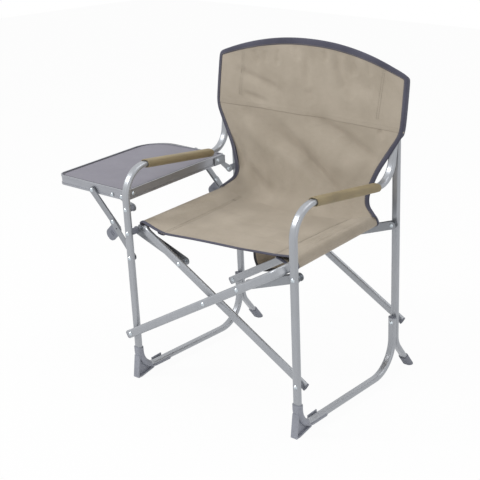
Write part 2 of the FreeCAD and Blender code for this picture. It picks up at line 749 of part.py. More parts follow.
def cross_hardware():
    """Centre pivots, and the rivets that hold the links to the diagonals."""
    half = S.tube_thin / 2
    middle = (0, S.low_pivot_w + CROSS_LOW * sine(S.cross_angle))
    centre = []
    rings = []
    for fore, rear in ((FORE_FRONT_Y, REAR_FRONT_Y), (FORE_REAR_Y, REAR_REAR_Y)):
        centre.append(rivet(middle, fore - half, rear + half + S.free_gap))
        rings.append(spacer(middle, fore + half, rear - half - S.free_gap))
    group("centre_bolts", centre)
    fore_spot, rear_spot = diagonal(CROSS_LINK, LEFT), diagonal(CROSS_LINK, RIGHT)
    near, far = LEG_FACE_Y + S.free_gap, REAR_LINK_Y
    group("front_cross_spacers", rings + [
        spacer(fore_spot, FORE_FRONT_Y + half, near - S.free_gap),
    ])
    group("front_cross_rivets", [
        rivet(fore_spot, FORE_FRONT_Y - half, near - S.free_gap, rear_head=False),
        rivet(fore_spot, FORE_REAR_Y - half, far - S.free_gap, rear_head=False),
    ])
    group("rear_cross_rivets", [
        rivet(rear_spot, REAR_FRONT_Y - half, LEFT_LINK_Y - S.free_gap, rear_head=False),
        rivet(rear_spot, far + S.link_deep + S.free_gap, REAR_REAR_Y + half, front_head=False),
    ])
    group("rear_cross_spacers", [
        spacer(rear_spot, far + S.link_deep + S.free_gap, REAR_REAR_Y - half),
        spacer(rear_spot, REAR_FRONT_Y + half, LEFT_LINK_Y - S.free_gap),
    ])
    for name, spot, front in (
        ("right_front", fore_spot, near), ("right_rear", fore_spot, far),
        ("left_front", rear_spot, LEFT_LINK_Y), ("left_rear", rear_spot, far),
    ):
        inward = name == "left_rear"
        ends = front, front + S.link_deep
        group(f"{name}_link_rivet", [rivet(spot, *ends, rear_head=not inward, front_head=inward)])


# ---------------------------------------------------------------- side table


def table_outline(inset):
    """The table's rounded outline, drawn in by the inset all round."""
    near, far = -S.table_in_x - inset, -S.table_out_x + inset
    front, rear, back = S.table_front_y + inset, S.table_rear_y - inset, S.table_back_y - inset

    def corner(x, y, radius):
        return (x, y, radius - inset) if radius.value > inset.value else (x, y)

    return [
        corner(near, front, S.hinge_corner), corner(near, rear, S.hinge_corner),
        corner(far, back, S.rear_corner), corner(far, front, S.front_corner),
    ]


def rear_wall_y(x):
    """The rim's slanted rear wall, outer face, at this distance from the mid-plane."""
    slope = (S.table_rear_y - S.table_back_y) / (S.table_out_x - S.table_in_x)
    return S.table_rear_y - (x - S.table_in_x) * slope


def rim_ring(body, low_w, high, outer, inner):
    sketch = sketch_on(body, "XY_Plane", low_w)
    chain(sketch, table_outline(outer))
    chain(sketch, table_outline(inner))
    return pad(body, sketch, high)


def table():
    rim = new_body("table_rim")
    low = S.table_top_w - S.rim_high
    top_bead = S.table_top_w - S.bead_high
    shelf = S.table_top_w - S.panel_drop - S.panel_thick - S.panel_gap / 2
    rim_ring(rim, low, S.rim_high, S.bead_proud, S.bead_proud + S.rim_wall / 2)
    rim_ring(rim, low, S.bead_high, sized(0), S.rim_wall)
    rim_ring(rim, top_bead, S.bead_high, sized(0), S.rim_wall)
    rim_ring(rim, shelf - S.rim_wall / 2, S.rim_wall / 2, S.bead_proud, S.lip_wide)
    drill(rim, [(-S.rim_pivot_x, S.rim_pivot_w)])
    for end in (FRONT, REAR):
        drill_end_wall(rim, end)
    drill_near_wall(rim)
    panel = new_body("table_panel")
    sheet_top = sketch_on(panel, "XY_Plane", shelf + S.panel_gap / 2)
    chain(sheet_top, table_outline(S.rim_wall + S.panel_gap))
    pad(panel, sheet_top, S.panel_thick)


def screw_level():
    return S.table_top_w - S.rim_high / 2


def end_screw_spots(end):
    """Places x, w of the bracket screws in the rim's front or rear wall."""
    near = -S.table_in_x - S.end_screw_back
    if end == REAR:
        return [(near, screw_level())]
    level = S.table_top_w - S.rim_high + S.front_screw_rise
    return [(near - S.free_gap - S.rim_wall, level), (-S.table_in_x - S.far_screw_back, level)]


def drill_end_wall(body, end):
    """Screw holes along y through the front or the rear wall alone."""
    wall = S.table_front_y if end == FRONT else S.table_rear_y
    sketch = sketch_on(body, "XZ_Plane", -wall)
    for x, w in end_screw_spots(end):
        circle(sketch, x, w, BOLT_HOLE)
    pocket(body, sketch, 4 * S.lip_wide)


def drill_near_wall(body):
    """Screw holes through the wall beside the chair, one near each end."""
    sketch = sketch_on(body, "YZ_Plane", -S.table_in_x + S.free_gap + S.plate_thick)
    for y in (S.table_front_y + S.screw_back, S.table_rear_y - S.screw_back):
        circle(sketch, y, screw_level(), BOLT_HOLE)
    pocket(body, sketch, 2 * S.lip_wide, midplane=False)


def lip_low_w():
    """Underside of the lip that carries the panel."""
    return S.table_top_w - S.panel_drop - S.panel_thick - (S.panel_gap + S.rim_wall) / 2


def ear_front(end):
    """The y of an ear's front face: inside the rim's front wall, outside its rear wall."""
    if end == FRONT:
        return S.table_front_y + S.rim_wall + S.free_gap
    return S.table_rear_y + S.free_gap


def hinge_bracket(name, end):
    """A corner plate screwed to the rim, with an ear that reaches down to the hinge bolt."""
    body = new_body(name)
    hinge_x, radius, front = -S.half_track, S.ear_radius, ear_front(end)
    low = S.table_top_w - S.rim_high
    if end == FRONT:
        corner = -S.table_in_x - S.rim_wall - S.free_gap
        far, top = corner - S.front_plate_long, lip_low_w() - S.free_gap
        plate_ends = front, S.table_front_y + S.plate_long
    else:
        corner = -S.table_in_x + S.free_gap + S.plate_thick
        far, top = corner - S.plate_thick - S.ear_long, S.table_top_w - S.bead_high
        plate_ends = S.table_rear_y - S.plate_long, front + S.ear_thick
    under = low - S.free_gap
    ear = sketch_on(body, "XZ_Plane", -front)
    chain(ear, [
        (hinge_x, S.hinge_w - radius), (hinge_x - radius, S.hinge_w - S.ear_slope),
        (corner - S.ear_long, under), (far, under, S.plate_corner), (far, top, S.plate_corner),
        (corner, top), (corner, under), (hinge_x, S.hinge_w + radius),
    ] if end == FRONT else [
        (hinge_x, S.hinge_w - radius), (hinge_x - radius, S.hinge_w - S.ear_slope),
        (far, low, S.plate_corner), (far, top, S.plate_corner), (corner, top),
        (corner, low), (hinge_x, S.hinge_w + radius),
    ])
    pad(body, ear, S.ear_thick, reverse=True)
    nose = sketch_on(body, "XZ_Plane", -front)
    circle(nose, hinge_x, S.hinge_w, radius)
    pad(body, nose, S.ear_thick, reverse=True)
    plate = sketch_on(body, "YZ_Plane", corner)
    chain(plate, box_outline(*plate_ends, under if end == FRONT else low, top))
    pad(body, plate, S.plate_thick, reverse=True)
    drill(body, [(hinge_x, S.hinge_w)])
    drill_end_wall(body, end)
    drill_near_wall(body)
    return body


def near_wall_screw(end):
    """A screw along x through the corner plate and the rim's wall, its head beside the chair."""
    if end == FRONT:
        y, outside = S.table_front_y + S.screw_back, -S.table_in_x - S.bead_proud
    else:
        y, outside = S.table_rear_y - S.screw_back, -S.table_in_x + S.free_gap + S.plate_thick
    spot = Vector(outside.value, y.value, screw_level().value)
    sideways = Rotation(Y_AXIS, 90)
    long = S.plate_thick + S.free_gap + S.rim_wall
    shank = doc.addObject("Part::Cylinder", "Shank")
    bind(shank, "Radius", S.bolt_radius)
    bind(shank, "Height", long)
    shank.Placement = Placement(spot - Vector(long.value, 0, 0), sideways)
    head = doc.addObject("Part::Cone", "Head")
    bind(head, "Radius1", S.head_radius)
    bind(head, "Radius2", S.head_radius * CROWN)
    bind(head, "Height", S.head_high)
    head.Placement = Placement(spot, sideways)
    joined = doc.addObject("Part::MultiFuse", "Screw")
    joined.Shapes = [shank, head]
    return joined


def table_hardware():
    """The table's own screws, and the bolts and spacers at its hinges."""
    hinge_bracket("table_front_bracket", FRONT)
    hinge_bracket("table_rear_bracket", REAR)
    front_ear, rear_ear = ear_front(FRONT), ear_front(REAR)
    inside = S.bead_proud + S.rim_wall
    screws = [near_wall_screw(FRONT), near_wall_screw(REAR)]
    for spot in end_screw_spots(FRONT):
        screws.append(rivet(spot, S.table_front_y, front_ear + S.ear_thick, rear_head=False))
    for spot in end_screw_spots(REAR):
        tip, face = S.table_rear_y - inside - S.cut_over, rear_ear + S.ear_thick
        screws.append(rivet(spot, tip, face, front_head=False))
    group("table_screws", screws)
    hinge = (-S.half_track, S.hinge_w)
    leg_front = S.leg_y - S.tube_thin / 2
    post_rear = S.post_y + S.tube_thin / 2
    gap = S.free_gap
    group("table_hinge_bolts", [
        rivet(hinge, leg_front, front_ear + S.ear_thick + gap),
        rivet(hinge, rear_ear - gap, post_rear),
    ])
    group("table_hinge_spacers", [
        spacer(hinge, LEG_FACE_Y, front_ear - gap),
        spacer(hinge, rear_ear + S.ear_thick + gap, POST_FACE_Y),
    ])


# ---------------------------------------------------------------- knee braces


def brace_line(start, end):
    """Length and turn about y of a bar whose local z runs from start to end (x, w)."""
    run, rise = end[0] - start[0], end[1] - start[1]
    long = Size(math.hypot(run.value, rise.value), f"sqrt(({run.text}) ^ 2 + ({rise.text}) ^ 2)")
    return long, math.degrees(math.atan2(run.value, rise.value))


def knee_brace(name, near_y, outward):
    """Upper channel on the table's rim and lower bar on the leg; outward is +1 at the front."""
    pivot = (-S.half_track, S.brace_pivot_w)
    knee = (-S.knee_x, S.knee_w)
    rim = (-S.rim_pivot_x, S.rim_pivot_w)
    thick, gap = S.brace_thick, S.free_gap
    low_front = near_y if outward == 1 else near_y - thick
    long, turn = brace_line(pivot, knee)
    lower = new_body(f"{name}_lower_brace", local(pivot[0], low_front, pivot[1], turn))
    bar = sketch_on(lower, "XZ_Plane")
    stadium(bar, 0, long, S.brace_half, along="z")
    pad(lower, bar, thick, reverse=True)
    drill(lower, [(0, 0), (0, long)])
    drill(lower, [(0, long - S.catch_back)], S.catch_radius)
    upper_front = low_front + outward * (thick + gap)
    long, turn = brace_line(rim, knee)
    upper = new_body(f"{name}_upper_brace", local(rim[0], upper_front, rim[1], turn))
    web = sketch_on(upper, "XZ_Plane")
    stadium(web, 0, long + S.brace_overrun, S.brace_half, along="z")
    pad(upper, web, thick, reverse=True)
    for edge in (1, -1):
        flange = sketch_on(upper, "XZ_Plane", 0 if outward == 1 else -thick)
        inner, outer = S.brace_half - S.flange_thick, S.brace_half
        ends = sorted((edge * inner, edge * outer), key=lambda size: size.value)
        chain(flange, box_outline(ends[0], ends[1], 0, long + S.brace_overrun))
        pad(upper, flange, S.channel_deep, reverse=outward == 1)
    drill(upper, [(0, 0), (0, long)])
    drill(upper, [(0, long + S.catch_back)], S.catch_radius)


def release_tab(name, front_y):
    """The ribbed thumb tab fixed beside the upper channel's tail, no deeper than the channel."""
    knee = (-S.knee_x, S.knee_w)
    rim = (-S.rim_pivot_x, S.rim_pivot_w)
    long, turn = brace_line(rim, knee)
    body = new_body(name, local(rim[0], front_y + S.rib_high, rim[1], turn))
    blank = sketch_on(body, "XZ_Plane")
    low, high = long + S.tab_start, S.tab_high
    inner = S.brace_half + S.running_clearance
    outer = inner + S.tab_wide
    chain(blank, [
        (inner, low, S.tab_corner), (outer, low, S.tab_round),
        (outer, low + high, S.tab_round), (inner, low + high, S.tab_corner),
    ])
    pad(body, blank, S.channel_deep - S.rib_high, reverse=True)
    start = low + (high - S.rib_long) / 2
    for rib in range(3):
        line = sketch_on(body, "XZ_Plane")
        left = inner + S.rib_in + rib * S.rib_pitch
        chain(line, box_outline(left, left + S.rib_wide, start, start + S.rib_long))
        pad(body, line, S.rib_high)


def brace_hardware():
    gap, thick = S.free_gap, S.brace_thick
    knee_brace("front", BRACE_FRONT_Y, 1)
    knee_brace("rear", BRACE_REAR_Y, -1)
    front_web = BRACE_FRONT_Y + thick + gap
    rear_web = BRACE_REAR_Y - thick - gap
    release_tab("front_release_tab", front_web)
    release_tab("rear_release_tab", rear_web - S.channel_deep)
    pivot = (-S.half_track, S.brace_pivot_w)
    knee = (-S.knee_x, S.knee_w)
    rim = (-S.rim_pivot_x, S.rim_pivot_w)
    leg_front = S.leg_y - S.tube_thin / 2
    post_rear = S.post_y + S.tube_thin / 2
    group("brace_bolts", [
        rivet(pivot, leg_front, BRACE_FRONT_Y + thick + gap),
        rivet(pivot, BRACE_REAR_Y - thick - gap, post_rear),
    ])
    rear_wall = rear_wall_y(S.rim_pivot_x)
    group("brace_rim_rivets", [
        rivet(rim, front_web - gap, S.table_front_y + S.rim_wall + gap),
        rivet(rim, rear_wall - S.rim_wall - S.cut_over, rear_web + gap),
    ])
    head, flat = dict(head_high=S.knee_head_high), dict(rear_head=False)
    blind = dict(front_head=False)
    lower_ends = BRACE_FRONT_Y, BRACE_FRONT_Y + thick
    group("front_knee_rivet", [rivet(knee, *lower_ends, **head, **flat)])
    group("front_knee_stud", [rivet(knee, front_web, front_web + thick, **head, **blind)])
    lower_ends = BRACE_REAR_Y - thick, BRACE_REAR_Y
    group("rear_knee_rivet", [rivet(knee, *lower_ends, **head, **blind)])
    group("rear_knee_stud", [rivet(knee, rear_web - thick, rear_web, **head, **flat)])
    ring = spacer(rim, rear_wall + S.cut_over, rear_web - thick - gap, S.brace_spacer)
    group("brace_spacers", [ring])


# ---------------------------------------------------------------- cloth


def seat_top_w():
    """Underside of the seat panel where it lies over the rails."""
    flat = (S.tube_wide - S.tube_thin) / 2 * cosine(S.cross_angle)
    return diagonal(CROSS_RAIL, LEFT)[1] + flat + S.tube_thin / 2 + S.free_gap


def seat_cloth():
    """Seat: a sagging panel hung between sleeves round the two seat rails."""
    body = new_body("seat_cloth")
    rail_x, rail_level = diagonal(CROSS_RAIL, LEFT)
    tilt = 90 - S.cross_angle.value
    loose, wall = 2 * S.free_gap, 2 * S.sleeve_wall
    rise = seat_top_w()
    edge, thick = rail_x - S.seat_edge_back, S.cloth_thick
    panel = sketch_on(body, "XZ_Plane", -S.seat_front_y)
    dip, low = edge / 2, rise - S.seat_sag
    chain(panel, [
        (-edge, rise), (-dip, low), (dip, low), (edge, rise),
        (edge, rise + thick), (dip, low + thick), (-dip, low + thick), (-edge, rise + thick),
    ])
    pad(body, panel, S.seat_rear_y - S.seat_front_y, reverse=True)
    for side, front in ((RIGHT, FORE_FRONT_Y), (LEFT, REAR_FRONT_Y)):
        start = front + S.cross_bend + S.free_gap
        start = start if start.value > S.seat_front_y.value else S.seat_front_y
        stop = (FORE_REAR_Y if side == RIGHT else REAR_REAR_Y) - S.cross_bend - S.free_gap
        stop = stop if stop.value < S.seat_rear_y.value else S.seat_rear_y
        spot = Vector(side * rail_x.value, rail_level.value, -start.value)
        turn = Rotation(Z_AXIS, 90 + side * (90 - tilt))
        sleeve = sketch_on(body, "XZ_Plane", turn=Placement(spot, turn))
        oval(sleeve, S.tube_wide + loose + wall, S.tube_thin + loose + wall)
        oval(sleeve, S.tube_wide + loose, S.tube_thin + loose)
        pad(body, sleeve, stop - start, reverse=True)
    return body


def back_cloth():
    """Back: an arched panel with a waist, and sleeves over the uprights and the post tops."""
    base_w = S.back_low_w
    spot = Vector(0, upright_y(base_w).value, base_w.value)
    place = Placement(spot, Rotation(X_AXIS, -S.recline.value))
    body = new_body("back_cloth", place)
    stretch = 1 / cosine(S.recline)

    def up(w):
        return (w - base_w) * stretch

    face = S.tube_thin / 2 + S.free_gap
    panel = sketch_on(body, "XZ_Plane", face)
    edge, top = S.back_edge_x, up(S.back_corner_w)
    low = up(S.waist_low_w)
    chain(panel, [
        (-S.waist_low_x, low), (S.waist_low_x, low),
        (S.waist_x, up(S.waist_w), S.waist_bend), (edge, up(S.hip_w), S.hip_bend),
        (edge, top, S.back_corner_bend), (0, top + S.back_arch, S.arch_bend),
        (-edge, top, S.back_corner_bend), (-edge, up(S.hip_w), S.hip_bend),
        (-S.waist_x, up(S.waist_w), S.waist_bend),
    ])
    pad(body, panel, S.cloth_thick)
    depth = 2 * S.tube_thin + (S.post_bend_w - S.back_sleeve_w) * tangent(S.recline)
    depth = depth + 2 * S.free_gap + S.sleeve_wall
    inner_x = S.half_track - S.tube_wide / 2 - 2 * S.free_gap
    outer_x = S.half_track + S.tube_wide / 2 + S.upright_out + 2 * S.free_gap
    wall = S.sleeve_wall
    for side in (RIGHT, LEFT):
        ring = sketch_on(body, "XY_Plane", up(S.back_sleeve_w))
        for inset in (wall, sized(0)):
            near, far = inner_x - inset, outer_x + inset
            ends = (near, far) if side == RIGHT else (-far, -near)
            chain(ring, box_outline(ends[0], ends[1], -face - inset, depth - face + inset))
        pad(body, ring, up(S.upright_top_w + 2 * S.plug_flange) - up(S.back_sleeve_w))
    return body


def storage_pocket():
    """Pouch slung under the rear of the seat."""
    body = new_body("storage_pocket")
    top = seat_top_w() - S.seat_sag - S.free_gap
    bag = sketch_on(body, "YZ_Plane")
    chain(bag, [
        (S.pocket_front_y, top), (S.pocket_front_y, top - S.pocket_front_deep, S.pocket_bend),
        (S.pocket_rear_y, top - S.pocket_deep, S.pocket_bend), (S.pocket_rear_y, top),
    ])
    pad(body, bag, 2 * S.pocket_half, midplane=True)
    return body


def build_side_frames():
    for side in (RIGHT, LEFT):
        side_tube(side)
        rear_post(side)
        front_foot(side)
        rear_foot(side)
        arm_sleeve(side)
        side_plugs(side)
        side_hardware(side)


def build_linkage():
    cross_frame("rear", RIGHT, REAR_FRONT_Y, REAR_REAR_Y)
    cross_frame("front", LEFT, FORE_FRONT_Y, FORE_REAR_Y)
    cross_hardware()
    link("right_front_link", RIGHT, LEG_FACE_Y + S.free_gap)
    link("left_front_link", LEFT, LEFT_LINK_Y)
    link("right_rear_link", RIGHT, REAR_LINK_Y)
    link("left_rear_link", LEFT, REAR_LINK_Y)


def finish():
    """Lean the chair, centre it over the origin, check every piece and write the STEP files."""
    doc.recompute()
    lean = Placement(Vector(), Rotation(X_AXIS, S.lean.value))
    bounds = FreeCAD.BoundBox()
    for part in SUB_PARTS:
        part.Placement = lean * part.Placement
    doc.recompute()
    for part in SUB_PARTS:
        if part.Shape.Faces:
            bounds.add(part.Shape.optimalBoundingBox(False, False))
    shift = Placement(Vector(-bounds.Center.x, -bounds.Center.y, 0), Rotation())
    print("shift", round(-bounds.Center.x, 4), round(-bounds.Center.y, 4))
    for part in SUB_PARTS:
        part.Placement = shift * part.Placement
    doc.recompute()
    for item in doc.Objects:
        bad = [state for state in item.State if state in ("Invalid", "Error")]
        if bad or (hasattr(item, "Shape") and item.Shape.isNull()):
            print("check", item.Name, item.Label, item.State)
    os.makedirs("parts", exist_ok=True)
    for old in os.listdir("parts"):
        os.remove(os.path.join("parts", old))
    for part in SUB_PARTS:
        if part.Shape.isNull() or not part.Shape.isValid():
            print("bad shape", part.Label)
            continue
        part.Shape.exportStep(f"parts/{part.Label}.step")
        print(part.Label, len(part.Shape.Solids), round(part.Shape.Volume / 1000, 1))


build_side_frames()
build_linkage()
table()
table_hardware()
brace_hardware()
seat_cloth()
back_cloth()
storage_pocket()
finish()
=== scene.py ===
# Folding camp chair with a drop-leaf side table: its looks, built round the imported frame.
# Metres throughout. The chair faces -Y and its table hangs on the -X side.
import json
import math

import bpy
import numpy as np
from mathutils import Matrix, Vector


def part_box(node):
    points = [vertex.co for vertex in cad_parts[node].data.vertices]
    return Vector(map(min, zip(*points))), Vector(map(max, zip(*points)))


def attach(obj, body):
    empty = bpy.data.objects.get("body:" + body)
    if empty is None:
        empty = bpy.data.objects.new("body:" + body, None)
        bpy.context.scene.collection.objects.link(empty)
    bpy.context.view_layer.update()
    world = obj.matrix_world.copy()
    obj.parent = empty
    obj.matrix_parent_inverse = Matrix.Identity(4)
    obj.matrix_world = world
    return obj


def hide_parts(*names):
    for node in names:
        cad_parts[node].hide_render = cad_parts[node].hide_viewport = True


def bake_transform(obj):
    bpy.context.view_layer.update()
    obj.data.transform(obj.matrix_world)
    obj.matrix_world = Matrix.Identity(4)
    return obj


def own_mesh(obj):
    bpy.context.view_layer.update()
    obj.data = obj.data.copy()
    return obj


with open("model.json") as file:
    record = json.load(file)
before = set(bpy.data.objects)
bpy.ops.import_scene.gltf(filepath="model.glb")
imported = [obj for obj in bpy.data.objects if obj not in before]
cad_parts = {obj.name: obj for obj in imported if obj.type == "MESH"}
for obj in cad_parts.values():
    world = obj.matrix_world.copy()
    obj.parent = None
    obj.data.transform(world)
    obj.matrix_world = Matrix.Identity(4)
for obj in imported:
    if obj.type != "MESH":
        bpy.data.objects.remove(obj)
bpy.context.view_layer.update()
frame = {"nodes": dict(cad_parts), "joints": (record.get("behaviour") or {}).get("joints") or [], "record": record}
cadNodes = frame["nodes"]

# the chair leans back a little about +X, and its cloth is drawn in the leaning axes:
# x from the middle of the chair, y rearward, w up along the posts
joints = {joint["name"]: joint for joint in frame["joints"]}
alongPivots = joints["fold"]["axis"]
lean = math.atan2(alongPivots[2], alongPivots[1])
midX = (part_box("right_side_tube")[1].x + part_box("left_side_tube")[0].x) / 2
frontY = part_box("right_front_foot")[0].y


def chairPoints(x, y, w):
    x, y, w = np.broadcast_arrays(np.asarray(x, float), np.asarray(y, float), np.asarray(w, float))
    return np.stack([
        midX + x,
        frontY + y * math.cos(lean) - w * math.sin(lean),
        y * math.sin(lean) + w * math.cos(lean),
    ], axis=-1)


def smoothLine(knots, perSpan=14):
    # a Catmull-Rom line through the knots, as many numbers in each as they have
    ends = np.array([knots[0], *knots, knots[-1]], float)
    share = np.linspace(0, 1, perSpan, endpoint=False)[:, None]
    spans = []
    for a, b, c, d in zip(ends, ends[1:], ends[2:], ends[3:]):
        spans.append(0.5 * (
            2 * b + (c - a) * share + (2 * a - 5 * b + 4 * c - d) * share**2
            + (3 * b - a - 3 * c + d) * share**3
        ))
    return np.vstack([*spans, ends[-1:]])


def valueAt(knots, at):
    # the second number of the smooth line where its first is `at`
    line = smoothLine(knots)
    order = np.argsort(line[:, 0], kind="stable")
    return np.interp(at, line[order, 0], line[order, 1])


def evenPoints(knots, shares, measured):
    # points at even lengths along a smooth line, its length read in the first `measured` numbers
    line = smoothLine(knots)
    steps = np.linalg.norm(np.diff(line[:, :measured], axis=0), axis=1)
    gone = np.concatenate([[0], np.cumsum(steps)])
    shares = np.asarray(shares, float) * gone[-1]
    return [np.interp(shares, gone, line[:, k]) for k in range(line.shape[1])]


def deselectAll():
    bpy.ops.object.select_all(action="DESELECT")


# a sheet of cloth: a flat grid whose points go to place(u, v), with its weave laid out in metres
def layCloth(name, columns, rows, size, place, thick=0.0012):
    deselectAll()
    bpy.ops.mesh.primitive_grid_add(x_subdivisions=columns, y_subdivisions=rows, size=2)
    cloth = bpy.context.object
    cloth.name = name
    flat = np.empty(len(cloth.data.vertices) * 3)
    cloth.data.vertices.foreach_get("co", flat)
    flat = flat.reshape(-1, 3)
    spots = place((flat[:, 0] + 1) / 2, (flat[:, 1] + 1) / 2)
    cloth.data.vertices.foreach_set("co", spots.ravel())
    layer = cloth.data.uv_layers.active.data
    corners = np.empty(len(layer) * 2)
    layer.foreach_get("uv", corners)
    layer.foreach_set("uv", (corners.reshape(-1, 2) * size).ravel())
    cloth.data.update()
    bpy.ops.object.shade_smooth()
    if thick:
        wall = cloth.modifiers.new("thickness", "SOLIDIFY")
        wall.thickness = thick
        wall.offset = 0
        bpy.ops.object.modifier_apply(modifier="thickness")
    return cloth


# light, camera and floor
cameraSettings = {
    "azimuth": 38.11, "elevation": 19.44, "distance": 2.863,
    "lens": 81.6, "shiftX": -0.0635, "height": 0.385, "depth": 0.25,
}
studioSettings = {
    "sky": 0.56, "floorSize": 12, "floorColour": 0.9, "floorGlow": 0.95, "aimHeight": 0.45,
    # each lamp: where it stands from its aim, how wide it is and its power
    "lamps": {
        "keyLamp": ((-1.9, -2.1, 2.1), 0.9, 46.0),
        "fillLamp": ((2.4, -1.4, 0.9), 2.0, 6.0),
        "topLamp": ((0.2, 0.5, 2.6), 2.0, 20.0),
    },
}


def makeCamera():
    aim = Vector((midX, frontY + cameraSettings["depth"], cameraSettings["height"]))
    around, up = (math.radians(cameraSettings[key]) for key in ("azimuth", "elevation"))
    back = Vector((
        math.sin(around) * math.cos(up), -math.cos(around) * math.cos(up), math.sin(up),
    ))
    turn = back.to_track_quat("Z", "Y").to_euler()
    bpy.ops.object.camera_add(location=aim + back * cameraSettings["distance"], rotation=turn)
    eye = bpy.context.object
    eye.data.lens = cameraSettings["lens"]
    eye.data.shift_x = cameraSettings["shiftX"]
    bpy.context.scene.camera = eye


def put(tree, kind, inputs=None, **settings):
    # one node, its inputs given as plain values or as sockets to link
    made = tree.nodes.new(kind)
    for key, value in settings.items():
        setattr(made, key, value)
    for key, value in (inputs or {}).items():
        if isinstance(value, bpy.types.NodeSocket):
            tree.links.new(value, made.inputs[key])
        else:
            made.inputs[key].default_value = value
    return made


def seenDirectly(tree):
    # 1 where the camera, a gloss or a glass looks, 0 where light only bounces
    path = put(tree, "ShaderNodeLightPath")
    inGloss = put(tree, "ShaderNodeMath", {
        0: path.outputs["Is Glossy Ray"], 1: path.outputs["Is Transmission Ray"],
    }, operation="MAXIMUM")
    return put(tree, "ShaderNodeMath", {
        0: path.outputs["Is Camera Ray"], 1: inGloss.outputs[0],
    }, operation="MAXIMUM").outputs[0]


def areaLamp(name, spot, aim, size, power):
    turn = (spot - aim).to_track_quat("Z", "Y").to_euler()
    bpy.ops.object.light_add(type="AREA", location=spot, rotation=turn)
    lamp = bpy.context.object
    lamp.name = name
    lamp.data.size = size
    lamp.data.energy = power


def makeStudio():
    bpy.context.scene.view_settings.view_transform = "Standard"
    world = bpy.data.worlds.new("studioSky")
    bpy.context.scene.world = world
    world.use_nodes = True
    tree = world.node_tree
    tree.nodes.clear()
    sky = put(tree, "ShaderNodeBackground", {"Strength": studioSettings["sky"]})
    sky.inputs["Color"].default_value = (1, 1, 1, 1)
    white = put(tree, "ShaderNodeBackground", {"Strength": 1.0})
    white.inputs["Color"].default_value = (1, 1, 1, 1)
    mix = put(tree, "ShaderNodeMixShader", {
        0: seenDirectly(tree), 1: sky.outputs[0], 2: white.outputs[0],
    })
    put(tree, "ShaderNodeOutputWorld", {0: mix.outputs[0]})

    # a pale matte floor, shown almost white and still carrying the chair's shadow
    deselectAll()
    bpy.ops.mesh.primitive_plane_add(size=studioSettings["floorSize"])
    floor = bpy.context.object
    floor.name = "floor"
    material = bpy.data.materials.new("paleFloor")
    material.use_nodes = True
    tree = material.node_tree
    tree.nodes.clear()
    shade = studioSettings["floorColour"]
    matte = put(tree, "ShaderNodeBsdfDiffuse", {"Color": (shade, shade, shade, 1)})
    glow = put(tree, "ShaderNodeEmission", {"Color": (1, 1, 1, 1), "Strength": 1.0})
    share = put(tree, "ShaderNodeMath", {
        0: seenDirectly(tree), 1: studioSettings["floorGlow"],
    }, operation="MULTIPLY")
    mix = put(tree, "ShaderNodeMixShader", {
        0: share.outputs[0], 1: matte.outputs[0], 2: glow.outputs[0],
    })
    put(tree, "ShaderNodeOutputMaterial", {0: mix.outputs[0]})
    floor.data.materials.append(material)

    aim = Vector((midX, 0, studioSettings["aimHeight"]))
    for name, (away, size, power) in studioSettings["lamps"].items():
        areaLamp(name, aim + Vector(away), aim, size, power)


makeCamera()
makeStudio()
print("camera, lamps and floor are ready")


# finishes
def colourOf(red, green, blue):
    # a colour as it looks, 0 to 255, in the linear numbers that shaders use
    linear = []
    for part in (red / 255, green / 255, blue / 255):
        linear.append(part / 12.92 if part <= 0.04045 else ((part + 0.055) / 1.055) ** 2.4)
    return (*linear, 1)


def newMaterial(name, roughness, metallic=0.0, sheen=0.0):
    material = bpy.data.materials.new(name)
    material.use_nodes = True
    shader = material.node_tree.nodes["Principled BSDF"]
    shader.inputs["Roughness"].default_value = roughness
    shader.inputs["Metallic"].default_value = metallic
    if sheen:
        shader.inputs["Sheen Weight"].default_value = sheen
        shader.inputs["Sheen Roughness"].default_value = 0.5
    return material, material.node_tree, shader


def noiseOn(tree, where, scale, detail=3.0, rough=0.55):
    return put(tree, "ShaderNodeTexNoise", {
        "Vector": where, "Scale": scale, "Detail": detail, "Roughness": rough,
    }).outputs["Fac"]


def rangeOf(tree, value, low, high, fromLow=0.3, fromHigh=0.7):
    return put(tree, "ShaderNodeMapRange", {
        "Value": value, "From Min": fromLow, "From Max": fromHigh, "To Min": low, "To Max": high,
    }).outputs["Result"]


def colourMix(tree, share, first, second, blend="MIX"):
    mix = put(tree, "ShaderNodeMix", data_type="RGBA", blend_type=blend)
    for socket, value in ((0, share), (6, first), (7, second)):
        if isinstance(value, bpy.types.NodeSocket):
            tree.links.new(value, mix.inputs[socket])
        else:
            mix.inputs[socket].default_value = value
    return mix.outputs[2]


def bumpFrom(tree, height, distance, strength=1.0, under=None):
    bump = put(tree, "ShaderNodeBump", {
        "Height": height, "Distance": distance, "Strength": strength,
    })
    if under is not None:
        tree.links.new(under, bump.inputs["Normal"])
    return bump.outputs["Normal"]


# woven polyester: threads that cross over and under, a mottled dye and small crumples
clothKeys = ("light", "dark", "thread", "crumple", "roughness")
clothFinishes = {
    "seat_fabric": ((184, 173, 157), (166, 155, 139), 0.00062, 0.0012, 0.86),
    "back_fabric": ((186, 175, 159), (168, 157, 141), 0.00062, 0.0012, 0.86),
    "pocket_fabric": ((160, 146, 126), (134, 121, 103), 0.00062, 0.0016, 0.88),
    "pocket_edging": ((46, 45, 50), (30, 29, 33), 0.0009, 0.0004, 0.7),
    "edge_binding": ((84, 84, 100), (58, 58, 74), 0.0009, 0.0004, 0.72),
}


